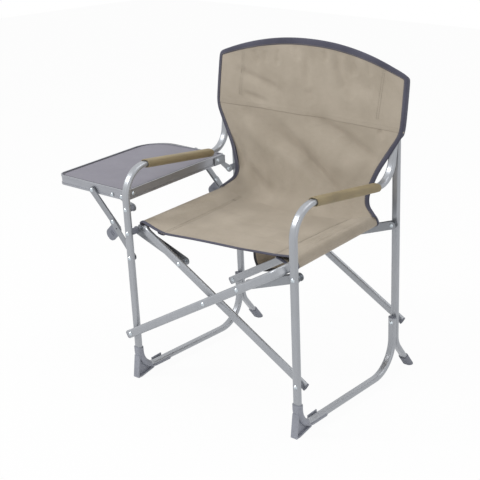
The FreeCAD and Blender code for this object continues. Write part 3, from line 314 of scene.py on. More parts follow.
def clothMaterial(name):
    look = dict(zip(clothKeys, clothFinishes[name]))
    material, tree, shader = newMaterial(name, look["roughness"], sheen=0.12)
    lay = put(tree, "ShaderNodeTexCoord").outputs["UV"]
    pitch = look["thread"]
    waves = []
    for direction in ("X", "Y"):
        waves.append(put(tree, "ShaderNodeTexWave", {
            "Vector": lay, "Scale": math.pi / 10 / pitch, "Distortion": 0.0,
        }, wave_type="BANDS", bands_direction=direction, wave_profile="SIN").outputs["Fac"])
    over = put(tree, "ShaderNodeTexChecker", {"Vector": lay, "Scale": 1 / pitch}).outputs["Fac"]
    weave = put(tree, "ShaderNodeMix", {0: over, 2: waves[0], 3: waves[1]}).outputs[0]
    mottle = noiseOn(tree, lay, 9, 4)
    flecks = noiseOn(tree, lay, 420, 3, 0.7)
    slubs = noiseOn(tree, put(tree, "ShaderNodeMapping", {
        "Vector": lay, "Scale": (60, 900, 1),
    }).outputs[0], 1, 2)
    base = colourMix(
        tree, rangeOf(tree, mottle, 0, 1), colourOf(*look["dark"]), colourOf(*look["light"])
    )
    fleck = rangeOf(tree, flecks, 0.9, 1.1)
    slub = rangeOf(tree, slubs, 0.965, 1.035)
    thread = rangeOf(tree, weave, 0.86, 1.08, 0, 1)
    tone = put(tree, "ShaderNodeMath", {0: fleck, 1: slub}, operation="MULTIPLY").outputs[0]
    tone = put(tree, "ShaderNodeMath", {0: tone, 1: thread}, operation="MULTIPLY").outputs[0]
    grey = put(tree, "ShaderNodeCombineColor", {0: tone, 1: tone, 2: tone}).outputs[0]
    tree.links.new(colourMix(tree, 1.0, base, grey, "MULTIPLY"), shader.inputs["Base Color"])
    tree.links.new(
        rangeOf(tree, flecks, look["roughness"] - 0.06, look["roughness"] + 0.08),
        shader.inputs["Roughness"],
    )
    crumples = noiseOn(tree, lay, 26, 3, 0.5)
    normal = bumpFrom(tree, crumples, look["crumple"], 0.55)
    normal = bumpFrom(tree, weave, 0.00012, 0.6, normal)
    tree.links.new(normal, shader.inputs["Normal"])
    return material


# solid finishes: a base colour with drift, a fine grain, and gloss that varies with streaks
solidKeys = ("colour", "drift", "grain", "grainDeep", "rough", "metallic", "streak")
solidFinishes = {
    # painted shade: the dark strip round the table panel is coloured as the shadow in the step under the rim
    "table_painted_shade_strip": ((58, 58, 68), 0.03, 1400, 0.00003, (0.42, 0.56), 0.0, (60, 60, 60)),
    "frame_tube": ((166, 169, 174), 0.025, 900, 0.00002, (0.28, 0.38), 0.6, (260, 260, 9)),
    "pressed_steel": ((152, 155, 160), 0.03, 500, 0.00004, (0.34, 0.48), 0.6, (120, 120, 40)),
    "zinc_hardware": ((196, 204, 210), 0.06, 1500, 0.00002, (0.2, 0.36), 0.9, (700, 700, 700)),
    "table_rim": ((164, 166, 172), 0.05, 1100, 0.00002, (0.28, 0.42), 0.75, (14, 14, 320)),
    "shoe_plastic": ((152, 155, 165), 0.05, 1600, 0.00006, (0.46, 0.62), 0.0, (50, 50, 50)),
    "grey_plastic": ((128, 131, 141), 0.06, 1800, 0.00006, (0.44, 0.6), 0.0, (60, 60, 60)),
    "foot_rubber": ((134, 137, 147), 0.08, 900, 0.0001, (0.6, 0.78), 0.0, (40, 40, 40)),
    "table_top": ((128, 126, 136), 0.04, 650, 0.00012, (0.5, 0.66), 0.0, (30, 30, 30)),
    "arm_foam": ((142, 128, 98), 0.1, 2200, 0.0001, (0.5, 0.68), 0.0, (90, 14, 90)),
}


def solidMaterial(name):
    look = dict(zip(solidKeys, solidFinishes[name]))
    low, high = look["rough"]
    material, tree, shader = newMaterial(name, low, look["metallic"])
    where = put(tree, "ShaderNodeTexCoord").outputs["Object"]
    colour = colourOf(*look["colour"])
    drift = look["drift"]
    darker = tuple(part * (1 - 2 * drift) for part in colour[:3]) + (1,)
    lighter = tuple(min(part * (1 + 2 * drift), 1) for part in colour[:3]) + (1,)
    cloudy = noiseOn(tree, where, 14, 4)
    streaks = noiseOn(tree, put(tree, "ShaderNodeMapping", {
        "Vector": where, "Scale": look["streak"],
    }).outputs[0], 1, 3, 0.6)
    grain = noiseOn(tree, where, look["grain"], 3, 0.6)
    both = put(tree, "ShaderNodeMath", {0: cloudy, 1: streaks}, operation="ADD").outputs[0]
    tree.links.new(
        colourMix(tree, rangeOf(tree, both, 0, 1, 0.7, 1.3), darker, lighter),
        shader.inputs["Base Color"],
    )
    tree.links.new(rangeOf(tree, streaks, low, high), shader.inputs["Roughness"])
    normal = bumpFrom(tree, grain, look["grainDeep"], 0.7)
    tree.links.new(normal, shader.inputs["Normal"])
    return material


threadFinish = {"colour": (158, 149, 134), "dark": (120, 112, 100), "twist": 1400}


def threadMaterial():
    material, tree, shader = newMaterial("sewing_thread", 0.7, sheen=0.2)
    where = put(tree, "ShaderNodeTexCoord").outputs["Object"]
    twist = noiseOn(tree, where, threadFinish["twist"], 2)
    tree.links.new(colourMix(
        tree, rangeOf(tree, twist, 0, 1), colourOf(*threadFinish["dark"]),
        colourOf(*threadFinish["colour"]),
    ), shader.inputs["Base Color"])
    tree.links.new(bumpFrom(tree, twist, 0.0001, 0.6), shader.inputs["Normal"])
    return material


materials = {name: clothMaterial(name) for name in clothFinishes}
materials.update({name: solidMaterial(name) for name in solidFinishes})
materials["sewing_thread"] = threadMaterial()
slotOfNode = {part["node"]: part["material_slot"] for part in frame["record"]["subparts"]}
for name, node in cadNodes.items():
    node.data.materials.clear()
    node.data.materials.append(materials[slotOfNode[name]])
print("finishes are on the frame")


def dress(piece, finish):
    piece.data.materials.clear()
    piece.data.materials.append(materials[finish])


# folds pressed into the cloth: each is a line of (x, height) points, how wide and how deep
def foldDepth(folds, x, w, softened=1.0):
    total = np.zeros_like(x)
    for points, wide, deep in folds:
        points = np.array(points)
        gone = np.concatenate([[0], np.cumsum(np.linalg.norm(np.diff(points, axis=0), axis=1))])
        nearest = np.full_like(x, 9.0)
        along = np.zeros_like(x)
        for start, end, before in zip(points, points[1:], gone):
            run = end - start
            length = np.linalg.norm(run)
            share = np.clip(((x - start[0]) * run[0] + (w - start[1]) * run[1]) / length**2, 0, 1)
            away = np.hypot(x - start[0] - share * run[0], w - start[1] - share * run[1])
            closer = away < nearest
            nearest = np.where(closer, away, nearest)
            along = np.where(closer, (before + share * length) / gone[-1], along)
        taper = np.clip(4 * along * (1 - along) + 0.12, 0, 1)
        total += deep * taper * np.exp(-((nearest / (wide * softened)) ** 2))
    return total


# the back: a stretched face with an arched top and a waist, curving forward into the seat
backShape = {
    "faceY": 0.4376, "faceW": 0.715, "recline": math.radians(9.2),
    "halfWidth": [
        (0.430, 0.252), (0.440, 0.247), (0.449, 0.239), (0.464, 0.2265), (0.482, 0.2210),
        (0.505, 0.2225), (0.540, 0.2340), (0.567, 0.2455), (0.595, 0.2620), (0.626, 0.2800),
        (0.645, 0.2915), (0.657, 0.2980), (0.672, 0.3015), (0.690, 0.302), (0.740, 0.302),
        (0.870, 0.300),
    ],
    "archTop": 0.865, "archFall": 0.0586, "archPower": 2.1, "archHalf": 0.300,
    "cornerRadius": 0.026,
    "upperHalf": 0.302, "seamW": 0.672, "lapBelow": 0.003, "lapAbove": 0.004,
    "lip": 0.0007, "lipReach": 0.016, "lipFade": 0.008,  # the upper panel's lower edge
    "bow": 0.007, "tight": 0.254,  # bowed back between the uprights, tight over them
    "folded": 1.8, "softened": 1.4, "edgeHold": 0.020,  # folds: deeper, wider, none at the edge
    "curlW": 0.505, "curlShare": 0.36, "turnW": 0.452, "footW": 0.437, "landHalf": 0.238,
    "landSink": 0.0004, "landRise": 0.0016,
    "landing": [  # where the face meets the seat, across
        (-0.26, 0.366), (-0.20, 0.354), (-0.10, 0.345), (0.0, 0.347), (0.10, 0.352),
        (0.18, 0.364), (0.24, 0.390), (0.26, 0.393),
    ],
}
backFolds = [
    # upper panel: short gathers under the top edge, and long pulls from the sleeves
    ([(-0.189, 0.822), (-0.163, 0.786)], 0.007, 0.0022),
    ([(-0.150, 0.826), (-0.140, 0.790)], 0.006, 0.0015),
    ([(-0.108, 0.832), (-0.104, 0.786)], 0.006, 0.0018),
    ([(-0.053, 0.848), (-0.036, 0.806)], 0.006, 0.0018),
    ([(-0.014, 0.846), (-0.002, 0.735)], 0.009, 0.0022),
    ([(0.041, 0.846), (0.055, 0.812)], 0.006, 0.0018),
    ([(0.075, 0.848), (0.090, 0.800), (0.112, 0.764), (0.150, 0.735)], 0.011, 0.0062),
    ([(0.096, 0.816), (0.141, 0.775), (0.206, 0.755)], 0.015, 0.0040),
    ([(0.114, 0.838), (0.142, 0.786)], 0.007, 0.0026),
    ([(0.135, 0.836), (0.150, 0.788)], 0.006, 0.0022),
    ([(0.175, 0.828), (0.194, 0.792)], 0.006, 0.0018),
    ([(-0.263, 0.775), (-0.201, 0.753), (-0.148, 0.740), (-0.092, 0.722), (-0.070, 0.694)],
     0.008, 0.0036),
    ([(-0.214, 0.706), (-0.169, 0.695), (-0.130, 0.688)], 0.006, 0.0026),
    ([(0.000, 0.742), (0.020, 0.700)], 0.010, 0.0020),
    ([(0.252, 0.664), (0.288, 0.671)], 0.005, 0.0020),
    # lower panel: broad diagonal folds from the left hip to the right waist
    ([(-0.210, 0.664), (-0.127, 0.614), (-0.021, 0.564), (0.059, 0.523), (0.121, 0.481),
      (0.160, 0.440)], 0.013, 0.0088),
    ([(-0.172, 0.668), (-0.094, 0.626), (-0.006, 0.580), (0.060, 0.540)], 0.014, 0.0048),
    ([(0.000, 0.671), (0.059, 0.652), (0.118, 0.632), (0.174, 0.607), (0.234, 0.589)],
     0.013, 0.0078),
    ([(-0.243, 0.585), (-0.218, 0.545), (-0.196, 0.510), (-0.147, 0.470), (-0.080, 0.447)],
     0.014, 0.0070),
    ([(-0.182, 0.500), (-0.130, 0.455), (-0.060, 0.440)], 0.012, 0.0034),
    ([(0.231, 0.668), (0.252, 0.646)], 0.006, 0.0030),
    ([(-0.205, 0.640), (-0.150, 0.585), (-0.090, 0.545)], 0.016, -0.0036),
    ([(-0.060, 0.650), (0.020, 0.600), (0.110, 0.560), (0.180, 0.530)], 0.022, -0.0050),
]
seatShape = {
    # the profile across, under the left rail, over the top and under the right rail:
    # x, w, where the front hem is and where the rear hem is
    "profile": [
        (-0.156, 0.4284, 0.034, 0.408), (-0.170, 0.4272, 0.036, 0.408),
        (-0.188, 0.4258, 0.044, 0.408), (-0.203, 0.4245, 0.066, 0.408),
        (-0.220, 0.4234, 0.076, 0.408), (-0.2365, 0.4222, 0.077, 0.408),
        (-0.2435, 0.4218, 0.072, 0.408), (-0.2496, 0.4250, 0.060, 0.408),
        (-0.2514, 0.4310, 0.050, 0.408), (-0.2490, 0.4372, 0.043, 0.408),
        (-0.2446, 0.4430, 0.039, 0.408), (-0.2390, 0.4468, 0.037, 0.408),
        (-0.2320, 0.4472, 0.036, 0.408), (-0.2170, 0.4452, 0.034, 0.408),
        (-0.188, 0.4374, 0.033, 0.408), (-0.157, 0.4316, 0.034, 0.408),
        (-0.120, 0.4302, 0.040, 0.408), (-0.060, 0.4292, 0.050, 0.408),
        (0.000, 0.4290, 0.057, 0.408), (0.060, 0.4293, 0.063, 0.408),
        (0.115, 0.4302, 0.072, 0.408), (0.159, 0.4316, 0.078, 0.408),
        (0.188, 0.4374, 0.073, 0.407), (0.2170, 0.4452, 0.064, 0.405),
        (0.2320, 0.4472, 0.058, 0.404), (0.2390, 0.4468, 0.055, 0.403),
        (0.2446, 0.4430, 0.053, 0.403), (0.2490, 0.4372, 0.052, 0.402),
        (0.2514, 0.4310, 0.052, 0.402), (0.2496, 0.4250, 0.053, 0.402),
        (0.2435, 0.4218, 0.055, 0.402), (0.2365, 0.4222, 0.057, 0.402),
        (0.220, 0.4234, 0.062, 0.402), (0.203, 0.4246, 0.068, 0.403),
        (0.184, 0.4262, 0.074, 0.404), (0.166, 0.4280, 0.078, 0.405),
    ],
    "top": (11, 26),  # which of them lie on top
    "topHalf": 0.236, "topShare": (0.155, 0.845),
    "slack": 0.0015, "slackHalf": 0.16, "slackRun": (0.04, 0.37),
}
seatFolds = [
    # across x and y: pulls along the rails, the rise towards the rear corner, and soft dents
    ([(-0.157, 0.034), (-0.160, 0.190), (-0.166, 0.360)], 0.004, 0.0020),
    ([(0.159, 0.078), (0.162, 0.190), (0.168, 0.300), (0.186, 0.400)], 0.005, 0.0024),
    ([(0.218, 0.110), (0.222, 0.243), (0.232, 0.360)], 0.005, 0.0024),
    ([(0.198, 0.150), (0.194, 0.300)], 0.005, 0.0020),
    ([(-0.220, 0.303), (-0.188, 0.269), (-0.090, 0.258), (-0.022, 0.266)], 0.012, 0.0026),
    ([(-0.120, 0.165), (-0.041, 0.158), (0.088, 0.162), (0.161, 0.145)], 0.014, 0.0022),
    ([(-0.020, 0.176), (0.118, 0.140)], 0.012, -0.0016),
    ([(-0.100, 0.080), (0.020, 0.100), (0.130, 0.095)], 0.014, 0.0018),
    ([(-0.090, 0.220), (0.060, 0.240), (0.150, 0.225)], 0.016, 0.0020),
    ([(-0.205, 0.110), (-0.190, 0.240)], 0.010, -0.0014),
    ([(-0.225, 0.200), (-0.198, 0.285)], 0.008, 0.0020),
]


def faceY(w, deeper=0.0):
    return backShape["faceY"] + (w - backShape["faceW"]) * math.tan(backShape["recline"]) + deeper


def plainArchW(x):
    out = np.abs(x / backShape["archHalf"])
    return backShape["archTop"] - backShape["archFall"] * out ** backShape["archPower"]


def archW(x):
    # the top's outline with its rounded corners
    radius = backShape["cornerRadius"]
    over = np.clip(np.abs(x) - (backShape["archHalf"] - radius), 0, radius)
    return plainArchW(x) - (radius - np.sqrt(np.maximum(radius**2 - over**2, 0)))


def seatTopW(x, y):
    # the level of the seat's upper side, with its folds
    first, last = seatShape["top"]
    line = [(row[0], row[1]) for row in seatShape["profile"][first:last]]
    within = np.clip(1 - (x / seatShape["slackHalf"]) ** 2, 0, 1)
    startY, run = seatShape["slackRun"]
    slack = seatShape["slack"] * within * np.cos((y - startY) * math.pi / run)
    return valueAt(line, x) + slack - foldDepth(seatFolds, x, y)


def facePoint(x, w, under=0.0):
    # on the stretched face: the plane of the uprights, bowed back a little, with its folds
    half = np.minimum(valueAt(backShape["halfWidth"], w), backShape["tight"])
    bow = backShape["bow"] * np.clip(1 - (x / half) ** 2, 0, 1)
    hold = np.clip((half - np.abs(x)) / backShape["edgeHold"], 0, 1) * backShape["folded"]
    deep = foldDepth(backFolds, x, w, backShape["softened"]) * hold
    return chairPoints(x, faceY(w) + under + bow + deep, w)


def upperFace(u, v):
    low = backShape["seamW"] - backShape["lapBelow"]
    lowHalf = valueAt(backShape["halfWidth"], np.full_like(u, low))
    half = lowHalf + (backShape["upperHalf"] - lowHalf) * np.clip(v * 3, 0, 1)
    x = (2 * u - 1) * half
    top = archW(x * backShape["archHalf"] / backShape["upperHalf"])
    w = low + (top - low) * v
    proud = np.clip((low + backShape["lipReach"] - w) / backShape["lipFade"], 0, 1)
    return facePoint(x, w, -backShape["lip"] * proud)


def lowerFace(u, v):
    # v below the bend is the curl into the seat, above it the stretched face
    across = 2 * u - 1
    bend = backShape["curlShare"]
    onFace = np.clip((v - bend) / (1 - bend), 0, 1)
    curl = np.clip(v / bend, 0, 1)
    top, start = backShape["seamW"] + backShape["lapAbove"], backShape["curlW"]
    w = start + (top - start) * onFace
    spots = facePoint(across * valueAt(backShape["halfWidth"], w), w)

    # the curl: a curve from the face down and forward to its landing on the seat
    foot = backShape["footW"]
    half = valueAt(backShape["halfWidth"], foot + (start - foot) * curl**2)
    x = across * half
    y0 = valueAt(backShape["landing"], x)
    w0 = seatTopW(np.clip(x, -backShape["landHalf"], backShape["landHalf"]), y0)
    w0 = w0 - backShape["landSink"]
    y1, w1 = faceY(backShape["turnW"]), w0 + backShape["landRise"]
    y2, w2 = faceY(start), np.full_like(w, start)
    away = 1 - curl
    y = away**2 * y0 + 2 * away * curl * y1 + curl**2 * y2
    wCurl = away**2 * w0 + 2 * away * curl * w1 + curl**2 * w2
    bow = backShape["bow"] * np.clip(1 - (x / half) ** 2, 0, 1) * curl
    hold = np.clip((half - np.abs(x)) / backShape["edgeHold"], 0, 1) * np.clip(curl * 3, 0, 1)
    deep = foldDepth(backFolds, x, wCurl, backShape["softened"]) * hold * backShape["folded"]
    slopeY = 2 * away * (y1 - y0) + 2 * curl * (y2 - y1)
    slopeW = 2 * away * (w1 - w0) + 2 * curl * (w2 - w1)
    size = np.hypot(slopeY, slopeW)
    inCurl = (v < bend)[:, None]
    curled = chairPoints(x, y + bow + deep * slopeW / size, wCurl - deep * slopeY / size)
    return np.where(inCurl, curled, spots)


# the back's pieces go with the right frame; a squash towards the right upright when folded is listed below but not
# applied
backSquash = {"axis": (0.9976, 0.0, -0.069), "anchor": (0.268, 0.4456, 0.74), "keep": 0.43}


def squashWithFold(piece):
    anchor = tuple(chairPoints(*backSquash["anchor"]))
    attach(piece, "right_frame")
    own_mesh(piece)


upperBack = layCloth("back_upper_panel", 250, 84, (0.604, 0.19), upperFace)
lowerBack = layCloth("back_lower_panel", 230, 120, (0.58, 0.29), lowerFace)
print("the back's two panels are laid")


# the sleeves behind the back, one over each upright and post
sleeveShape = {
    "profile": [
        (0.226, 0.0016), (0.232, 0.40), (0.242, 0.84), (0.256, 1.0), (0.272, 0.99),
        (0.284, 0.86), (0.2945, 0.56), (0.3012, 0.25), (0.3018, 0.004),
    ],
    "depth": [
        (0.640, 0.0405), (0.655, 0.0400), (0.700, 0.0345), (0.740, 0.0332), (0.775, 0.0318),
        (0.790, 0.0235), (0.803, 0.0170), (0.811, 0.0060), (0.822, 0.0026), (0.860, 0.0026),
    ],
    "lowW": 0.668, "topHalf": 0.2995, "topClear": 0.001,
    "least": 0.0018, "ripple": 0.0009, "pastEdge": 0.0012,
}


def sleevePanel(side):
    def place(u, v):
        x, share = evenPoints(
            [(a, b if b > 0.1 else 0.0) for a, b in sleeveShape["profile"]], u, 2
        )
        low = sleeveShape["lowW"]
        top = archW(np.minimum(x, sleeveShape["topHalf"])) - sleeveShape["topClear"]
        w = low + (top - low) * v
        deep = np.maximum(valueAt(sleeveShape["depth"], w) * share, sleeveShape["least"])
        ripple = sleeveShape["ripple"] * np.sin(w * 95 + x * 40) * share
        half = valueAt(backShape["halfWidth"], w)
        bow = backShape["bow"] * np.clip(1 - (x / half) ** 2, 0, 1)
        x = np.minimum(x, half + sleeveShape["pastEdge"])
        return chairPoints(side * x, faceY(w) + bow + deep + ripple, w)

    name = "right" if side > 0 else "left"
    panel = layCloth(f"{name}_back_sleeve", 60, 60, (0.13, 0.16), place)
    dress(panel, "back_fabric")
    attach(panel, f"{name}_frame")


for side in (1, -1):
    sleevePanel(side)


# the seat: one sheet that wraps both rails and sags between them
def seatProfile(u):
    return evenPoints(seatShape["profile"], u, 2)


def seatPoint(u, v):
    x, w, hem, rear = seatProfile(u)
    y = hem + (rear - hem) * v
    first, last = seatShape["topShare"]
    onTop = (np.abs(x) < seatShape["topHalf"]) & (u > first) & (u < last)
    return chairPoints(x, y, np.where(onTop, seatTopW(x, y), w))


seatCloth = layCloth("seat_panel", 230, 110, (0.66, 0.36), seatPoint)
print("the seat is laid")

# the cloth is baked in place; the points just inside either rail are worked out but nothing bends the cloth
# between them
railIn = {"x": 0.228, "y": 0.2, "w": 0.4345}


def blendWithRails(piece):
    start, end = (
        tuple(chairPoints(side * railIn["x"], railIn["y"], railIn["w"])) for side in (1, -1)
    )
    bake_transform(piece)


# a binding: a tape folded round an edge, its section given outward and toward the face
tapeShape = {"thick": 0.0009, "width": 0.03}


def bindEdge(name, edge, outward, face, section):
    rows = []
    for out, up in section:
        out = np.broadcast_to(np.asarray(out, float), len(edge))[:, None]
        up = np.broadcast_to(np.asarray(up, float), len(edge))[:, None]
        rows.append(edge + outward * out + face * up)
    grid = np.stack(rows)
    count, length = len(section), len(edge)
    long = np.linalg.norm(np.diff(edge, axis=0), axis=1).sum()

    def place(u, v):
        along = np.interp(v, np.linspace(0, 1, length), np.arange(length))
        low = np.minimum(along.astype(int), length - 2)
        part = (along - low)[:, None]
        across = u * (count - 1)
        first = np.minimum(across.astype(int), count - 2)
        mix = (across - first)[:, None]
        near = grid[first, low] * (1 - part) + grid[first, low + 1] * part
        far = grid[first + 1, low] * (1 - part) + grid[first + 1, low + 1] * part
        return near * (1 - mix) + far * mix

    size = (tapeShape["width"], long)
    tape = layCloth(name, count - 1, length - 1, size, place, thick=tapeShape["thick"])
    soften = tape.modifiers.new("soften", "SUBSURF")
    soften.levels = soften.render_levels = 1
    bpy.ops.object.modifier_apply(modifier="soften")
    dress(tape, "edge_binding")
    return tape


def unit(vectors):
    return vectors / np.maximum(np.linalg.norm(vectors, axis=1), 1e-9)[:, None]


def smoothed(vectors, times=3):
    for _ in range(times):
        inner = (vectors[:-2] + 2 * vectors[1:-1] + vectors[2:]) / 4
        vectors = np.vstack([vectors[:1], inner, vectors[-1:]])
    return vectors


def rimFrame(surface, u, v, inU, inV):
    # the edge's points, the way out of the cloth, and the way to its face
    edge = surface(u, v)
    inner = surface(inU, inV)
    outward = unit(edge - inner)
    along = unit(np.gradient(edge, axis=0))
    face = unit(np.cross(outward, along))
    return edge, outward, face


# the back's binding: how it is sampled and rounded, how far it reaches in over the face at the
# arch and at the sides, and how far behind, where it also covers the sleeves
rimShape = {
    "points": 520, "rounding": 50, "softening": 6, "curlSteps": 60, "curlTop": 0.352,
    "sidePoints": 150, "sideEnd": (0.28, 0.004), "topPoints": 240, "topHalf": 0.301,
    "drawnIn": 0.9992, "archFrom": 0.800, "archFade": 0.008, "archWide": 0.0158,
    "archNarrowing": 0.0056,
    "side": [(0.43, 0.010), (0.50, 0.0108), (0.62, 0.0100), (0.665, 0.0085), (0.70, 0.008)],
    "sleeveFrom": 0.652, "sleeveFade": 0.010, "behind": 0.0030, "behindSleeve": 0.0100,
}


def backRim():
    # the outline in x and w: up the left side, over the arch and down the right
    endX, below = rimShape["sideEnd"]
    endW = archW(np.array(endX)) - below
    sideW = np.linspace(backShape["curlW"], endW, rimShape["sidePoints"])
    sideX = valueAt(backShape["halfWidth"], sideW)
    topX = np.linspace(-rimShape["topHalf"], rimShape["topHalf"], rimShape["topPoints"])
    line = np.vstack([
        np.stack([-sideX, sideW], 1), np.stack([topX, plainArchW(topX)], 1),
        np.stack([sideX[::-1], sideW[::-1]], 1),
    ])
    gone = np.concatenate([[0], np.cumsum(np.linalg.norm(np.diff(line, axis=0), axis=1))])
    even = np.linspace(0, gone[-1], rimShape["points"])
    line = np.stack([np.interp(even, gone, line[:, k]) for k in (0, 1)], 1)
    line = smoothed(line, rimShape["rounding"])
    run = unit(np.gradient(line, axis=0))
    rise = math.tan(backShape["recline"])
    zero = chairPoints(0, 0, 0)
    edge = facePoint(line[:, 0] * rimShape["drawnIn"], line[:, 1])
    outward = chairPoints(-run[:, 1], run[:, 0] * rise, run[:, 0]) - zero
    face = np.tile(unit((chairPoints(0, -1, rise) - zero)[None]), (len(edge), 1))
    parts = [(edge, unit(outward), face)]

    # then the edges of the curl, down to the seat on either side
    v = np.linspace(0.0, rimShape["curlTop"], rimShape["curlSteps"])
    front = chairPoints(0, -1, 0.4) - zero
    for side in (0, 1):
        at = np.full_like(v, side)
        low, out, way = rimFrame(lowerFace, at, v, 0.03 + 0.94 * at, v)
        way = np.where((way @ front)[:, None] < 0, -way, way)
        if side:
            parts.append((low[::-1], out[::-1], way[::-1]))
        else:
            parts.insert(0, (low, out, way))
    edge, outward, face = (np.vstack([part[k] for part in parts]) for k in range(3))
    softening = rimShape["softening"]
    return edge, unit(smoothed(outward, softening)), unit(smoothed(face, softening))


def rimWidths(edge):
    # how far the binding reaches in over the face, and where it covers a sleeve
    chairX = edge[:, 0] - midX
    up = edge[:, 2] * math.cos(lean) - (edge[:, 1] - frontY) * math.sin(lean)
    arch = np.clip((up - rimShape["archFrom"]) / rimShape["archFade"], 0, 1)
    out = np.clip(np.abs(chairX) / backShape["archHalf"], 0, 1)
    topWidth = rimShape["archWide"] - rimShape["archNarrowing"] * out**3
    sideWidth = np.interp(up, *zip(*rimShape["side"]))
    sleeve = np.clip((up - rimShape["sleeveFrom"]) / rimShape["sleeveFade"], 0, 1)
    return sideWidth + (topWidth - sideWidth) * arch, sleeve * (1 - arch)


rimEdge, rimOut, rimFace = backRim()
rimWide, rimSleeve = rimWidths(rimEdge)
behind = rimShape["behind"] + rimShape["behindSleeve"] * rimSleeve
backBinding = bindEdge("back_binding", rimEdge, rimOut, rimFace, [
    (-rimWide, 0.0009), (-rimWide * 0.98, 0.0017), (-rimWide * 0.5, 0.0021), (-0.0012, 0.0021),
    (0.0010, 0.0014), (0.0018, 0.0), (0.0018, -behind + 0.0014), (0.0008, -behind),
    (-0.0012 - 0.002 * (1 - rimSleeve), -behind - 0.0003),
    (-rimWide * (1 - 0.8 * rimSleeve), -behind + 0.0002),
])
squashWithFold(backBinding)

for piece in (upperBack, lowerBack):
    dress(piece, "back_fabric")
    squashWithFold(piece)
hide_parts("back_cloth")
print("the back is bound")


# the seat's hem tapes, front and rear
hemShape = {
    "steps": 230, "ends": (0.004, 0.996), "inward": 0.03,
    "section": [
        (-0.0088, 0.0008), (-0.0086, 0.0014), (-0.0045, 0.0017), (-0.0008, 0.0015),
        (0.0011, 0.0), (-0.0008, -0.0015), (-0.0045, -0.0017), (-0.0086, -0.0014),
    ],
}


def hemFrame(v, inward):
    u = np.linspace(*hemShape["ends"], hemShape["steps"])
    at = np.full_like(u, v)
    edge = seatPoint(u, at)
    outward = unit(edge - seatPoint(u, at + inward))
    along = unit(np.gradient(edge, axis=0))
    face = unit(np.cross(along, outward)) * (1 if inward > 0 else -1)
    return edge, unit(smoothed(outward, 2)), unit(smoothed(face, 2))


frontHem = hemFrame(0.0, hemShape["inward"])
rearHem = hemFrame(1.0, -hemShape["inward"])
seatHem = bindEdge("seat_front_hem", *frontHem, hemShape["section"])
seatRearHem = bindEdge("seat_rear_hem", *rearHem, hemShape["section"])
dress(seatCloth, "seat_fabric")
for piece in (seatCloth, seatHem, seatRearHem):
    blendWithRails(piece)
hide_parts("seat_cloth")
print("the seat is hemmed")


# the pouch under the rear of the seat, its profile in y and w
pouch = {
    "half": 0.116, "topW": 0.4310, "belowSeat": 0.0040, "middleY": 0.33, "roundness": 7,
    "crumples": [(0.0022, 90, 60), (0.0016, 210, -90)],  # how deep, and waves in x and y
    "crumpleFrom": 0.03,
    "profile": [
        (0.264, 0.4310), (0.261, 0.4180), (0.263, 0.4020), (0.273, 0.3900), (0.295, 0.3800),
        (0.330, 0.3760), (0.365, 0.3765), (0.388, 0.3850), (0.396, 0.4020), (0.397, 0.4180),
        (0.396, 0.4310),
    ],
}


def pouchPoint(u, v):
    y, w = evenPoints(pouch["profile"], v, 2)
    across = 2 * u - 1
    close = 1 - np.abs(across) ** pouch["roundness"]  # the ends rise to the seat
    x = across * pouch["half"]
    top = seatTopW(x, y) - pouch["belowSeat"]
    w = np.minimum(top + (np.minimum(w, pouch["topW"]) - pouch["topW"]) * close, top)
    crumple = sum(deep * np.sin(x * inX + y * inY) for deep, inX, inY in pouch["crumples"])
    depth = np.clip((top - w) / pouch["crumpleFrom"], 0, 1)
    middle = pouch["middleY"]
    y = middle + (y - middle) * (0.9 + 0.1 * close) + crumple * depth * 0.6
    return chairPoints(x, y, w + crumple * depth)


pouchCloth = layCloth("seat_pouch", 84, 72, (0.232, 0.21), pouchPoint, thick=0.0014)
dress(pouchCloth, "pocket_fabric")
blendWithRails(pouchCloth)
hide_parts("storage_pocket")


# a narrow pocket from the seat's rear hem: it hangs behind the rear cross tubes
rearPocket = {
    "left": [
        (-0.196, 0.4115, 0.4262), (-0.201, 0.446, 0.4020), (-0.206, 0.450, 0.3000),
        (-0.207, 0.450, 0.2150), (-0.190, 0.450, 0.1740),
    ],
    "right": [
        (-0.070, 0.4115, 0.4262), (-0.066, 0.446, 0.4020), (-0.064, 0.450, 0.3200),
        (-0.064, 0.450, 0.2500), (-0.075, 0.450, 0.2150),
    ],
    "ripple": 0.003, "belly": 0.010, "edging": 0.0095, "edgeSteps": 60, "inward": 0.2,
}


def rearPocketPoint(u, v):
    left, right = (
        np.stack(evenPoints(rearPocket[side], v, 3), axis=-1) for side in ("left", "right")
    )
    x, y, w = (left + (right - left) * u[:, None]).T
    ripple = rearPocket["ripple"] * np.sin(u * 7 + v * 5) * np.clip(v * 3, 0, 1)
    return chairPoints(x, y + ripple, w - rearPocket["belly"] * np.sin(math.pi * u) * v**2)


def rearPocketEdge():
    # down the left side and along the bottom
    steps, inward = rearPocket["edgeSteps"], rearPocket["inward"]
    share = np.linspace(0, 1, steps)
    zero, one = np.zeros(steps), np.ones(steps - 1)
    side, bottom = rearPocketPoint(zero, share), rearPocketPoint(share[1:], one)
    edge = np.vstack([side, bottom])
    outward = np.vstack([
        side - rearPocketPoint(zero + inward, share),
        bottom - rearPocketPoint(share[1:], one - inward),
    ])
    outward = np.vstack([unit(outward[:steps]), unit(outward[steps:])])
    outward = unit(smoothed(outward, 6))
    return edge, outward, unit(np.cross(outward, np.gradient(smoothed(edge, 3), axis=0)))


pocketCloth = layCloth("rear_pocket", 50, 80, (0.14, 0.25), rearPocketPoint)
pocketEdging = bindEdge("rear_pocket_edging", *rearPocketEdge(), [
    (-rearPocket["edging"], 0.0010), (-0.004, 0.0016), (0.0, 0.0012), (0.0012, 0.0),
    (0.0, -0.0012), (-0.004, -0.0016), (-rearPocket["edging"], -0.0010),
])
dress(pocketCloth, "pocket_fabric")
dress(pocketEdging, "pocket_edging")
for piece in (pocketCloth, pocketEdging):
    squashWithFold(piece)
print("the pouch and the rear pocket are hung")
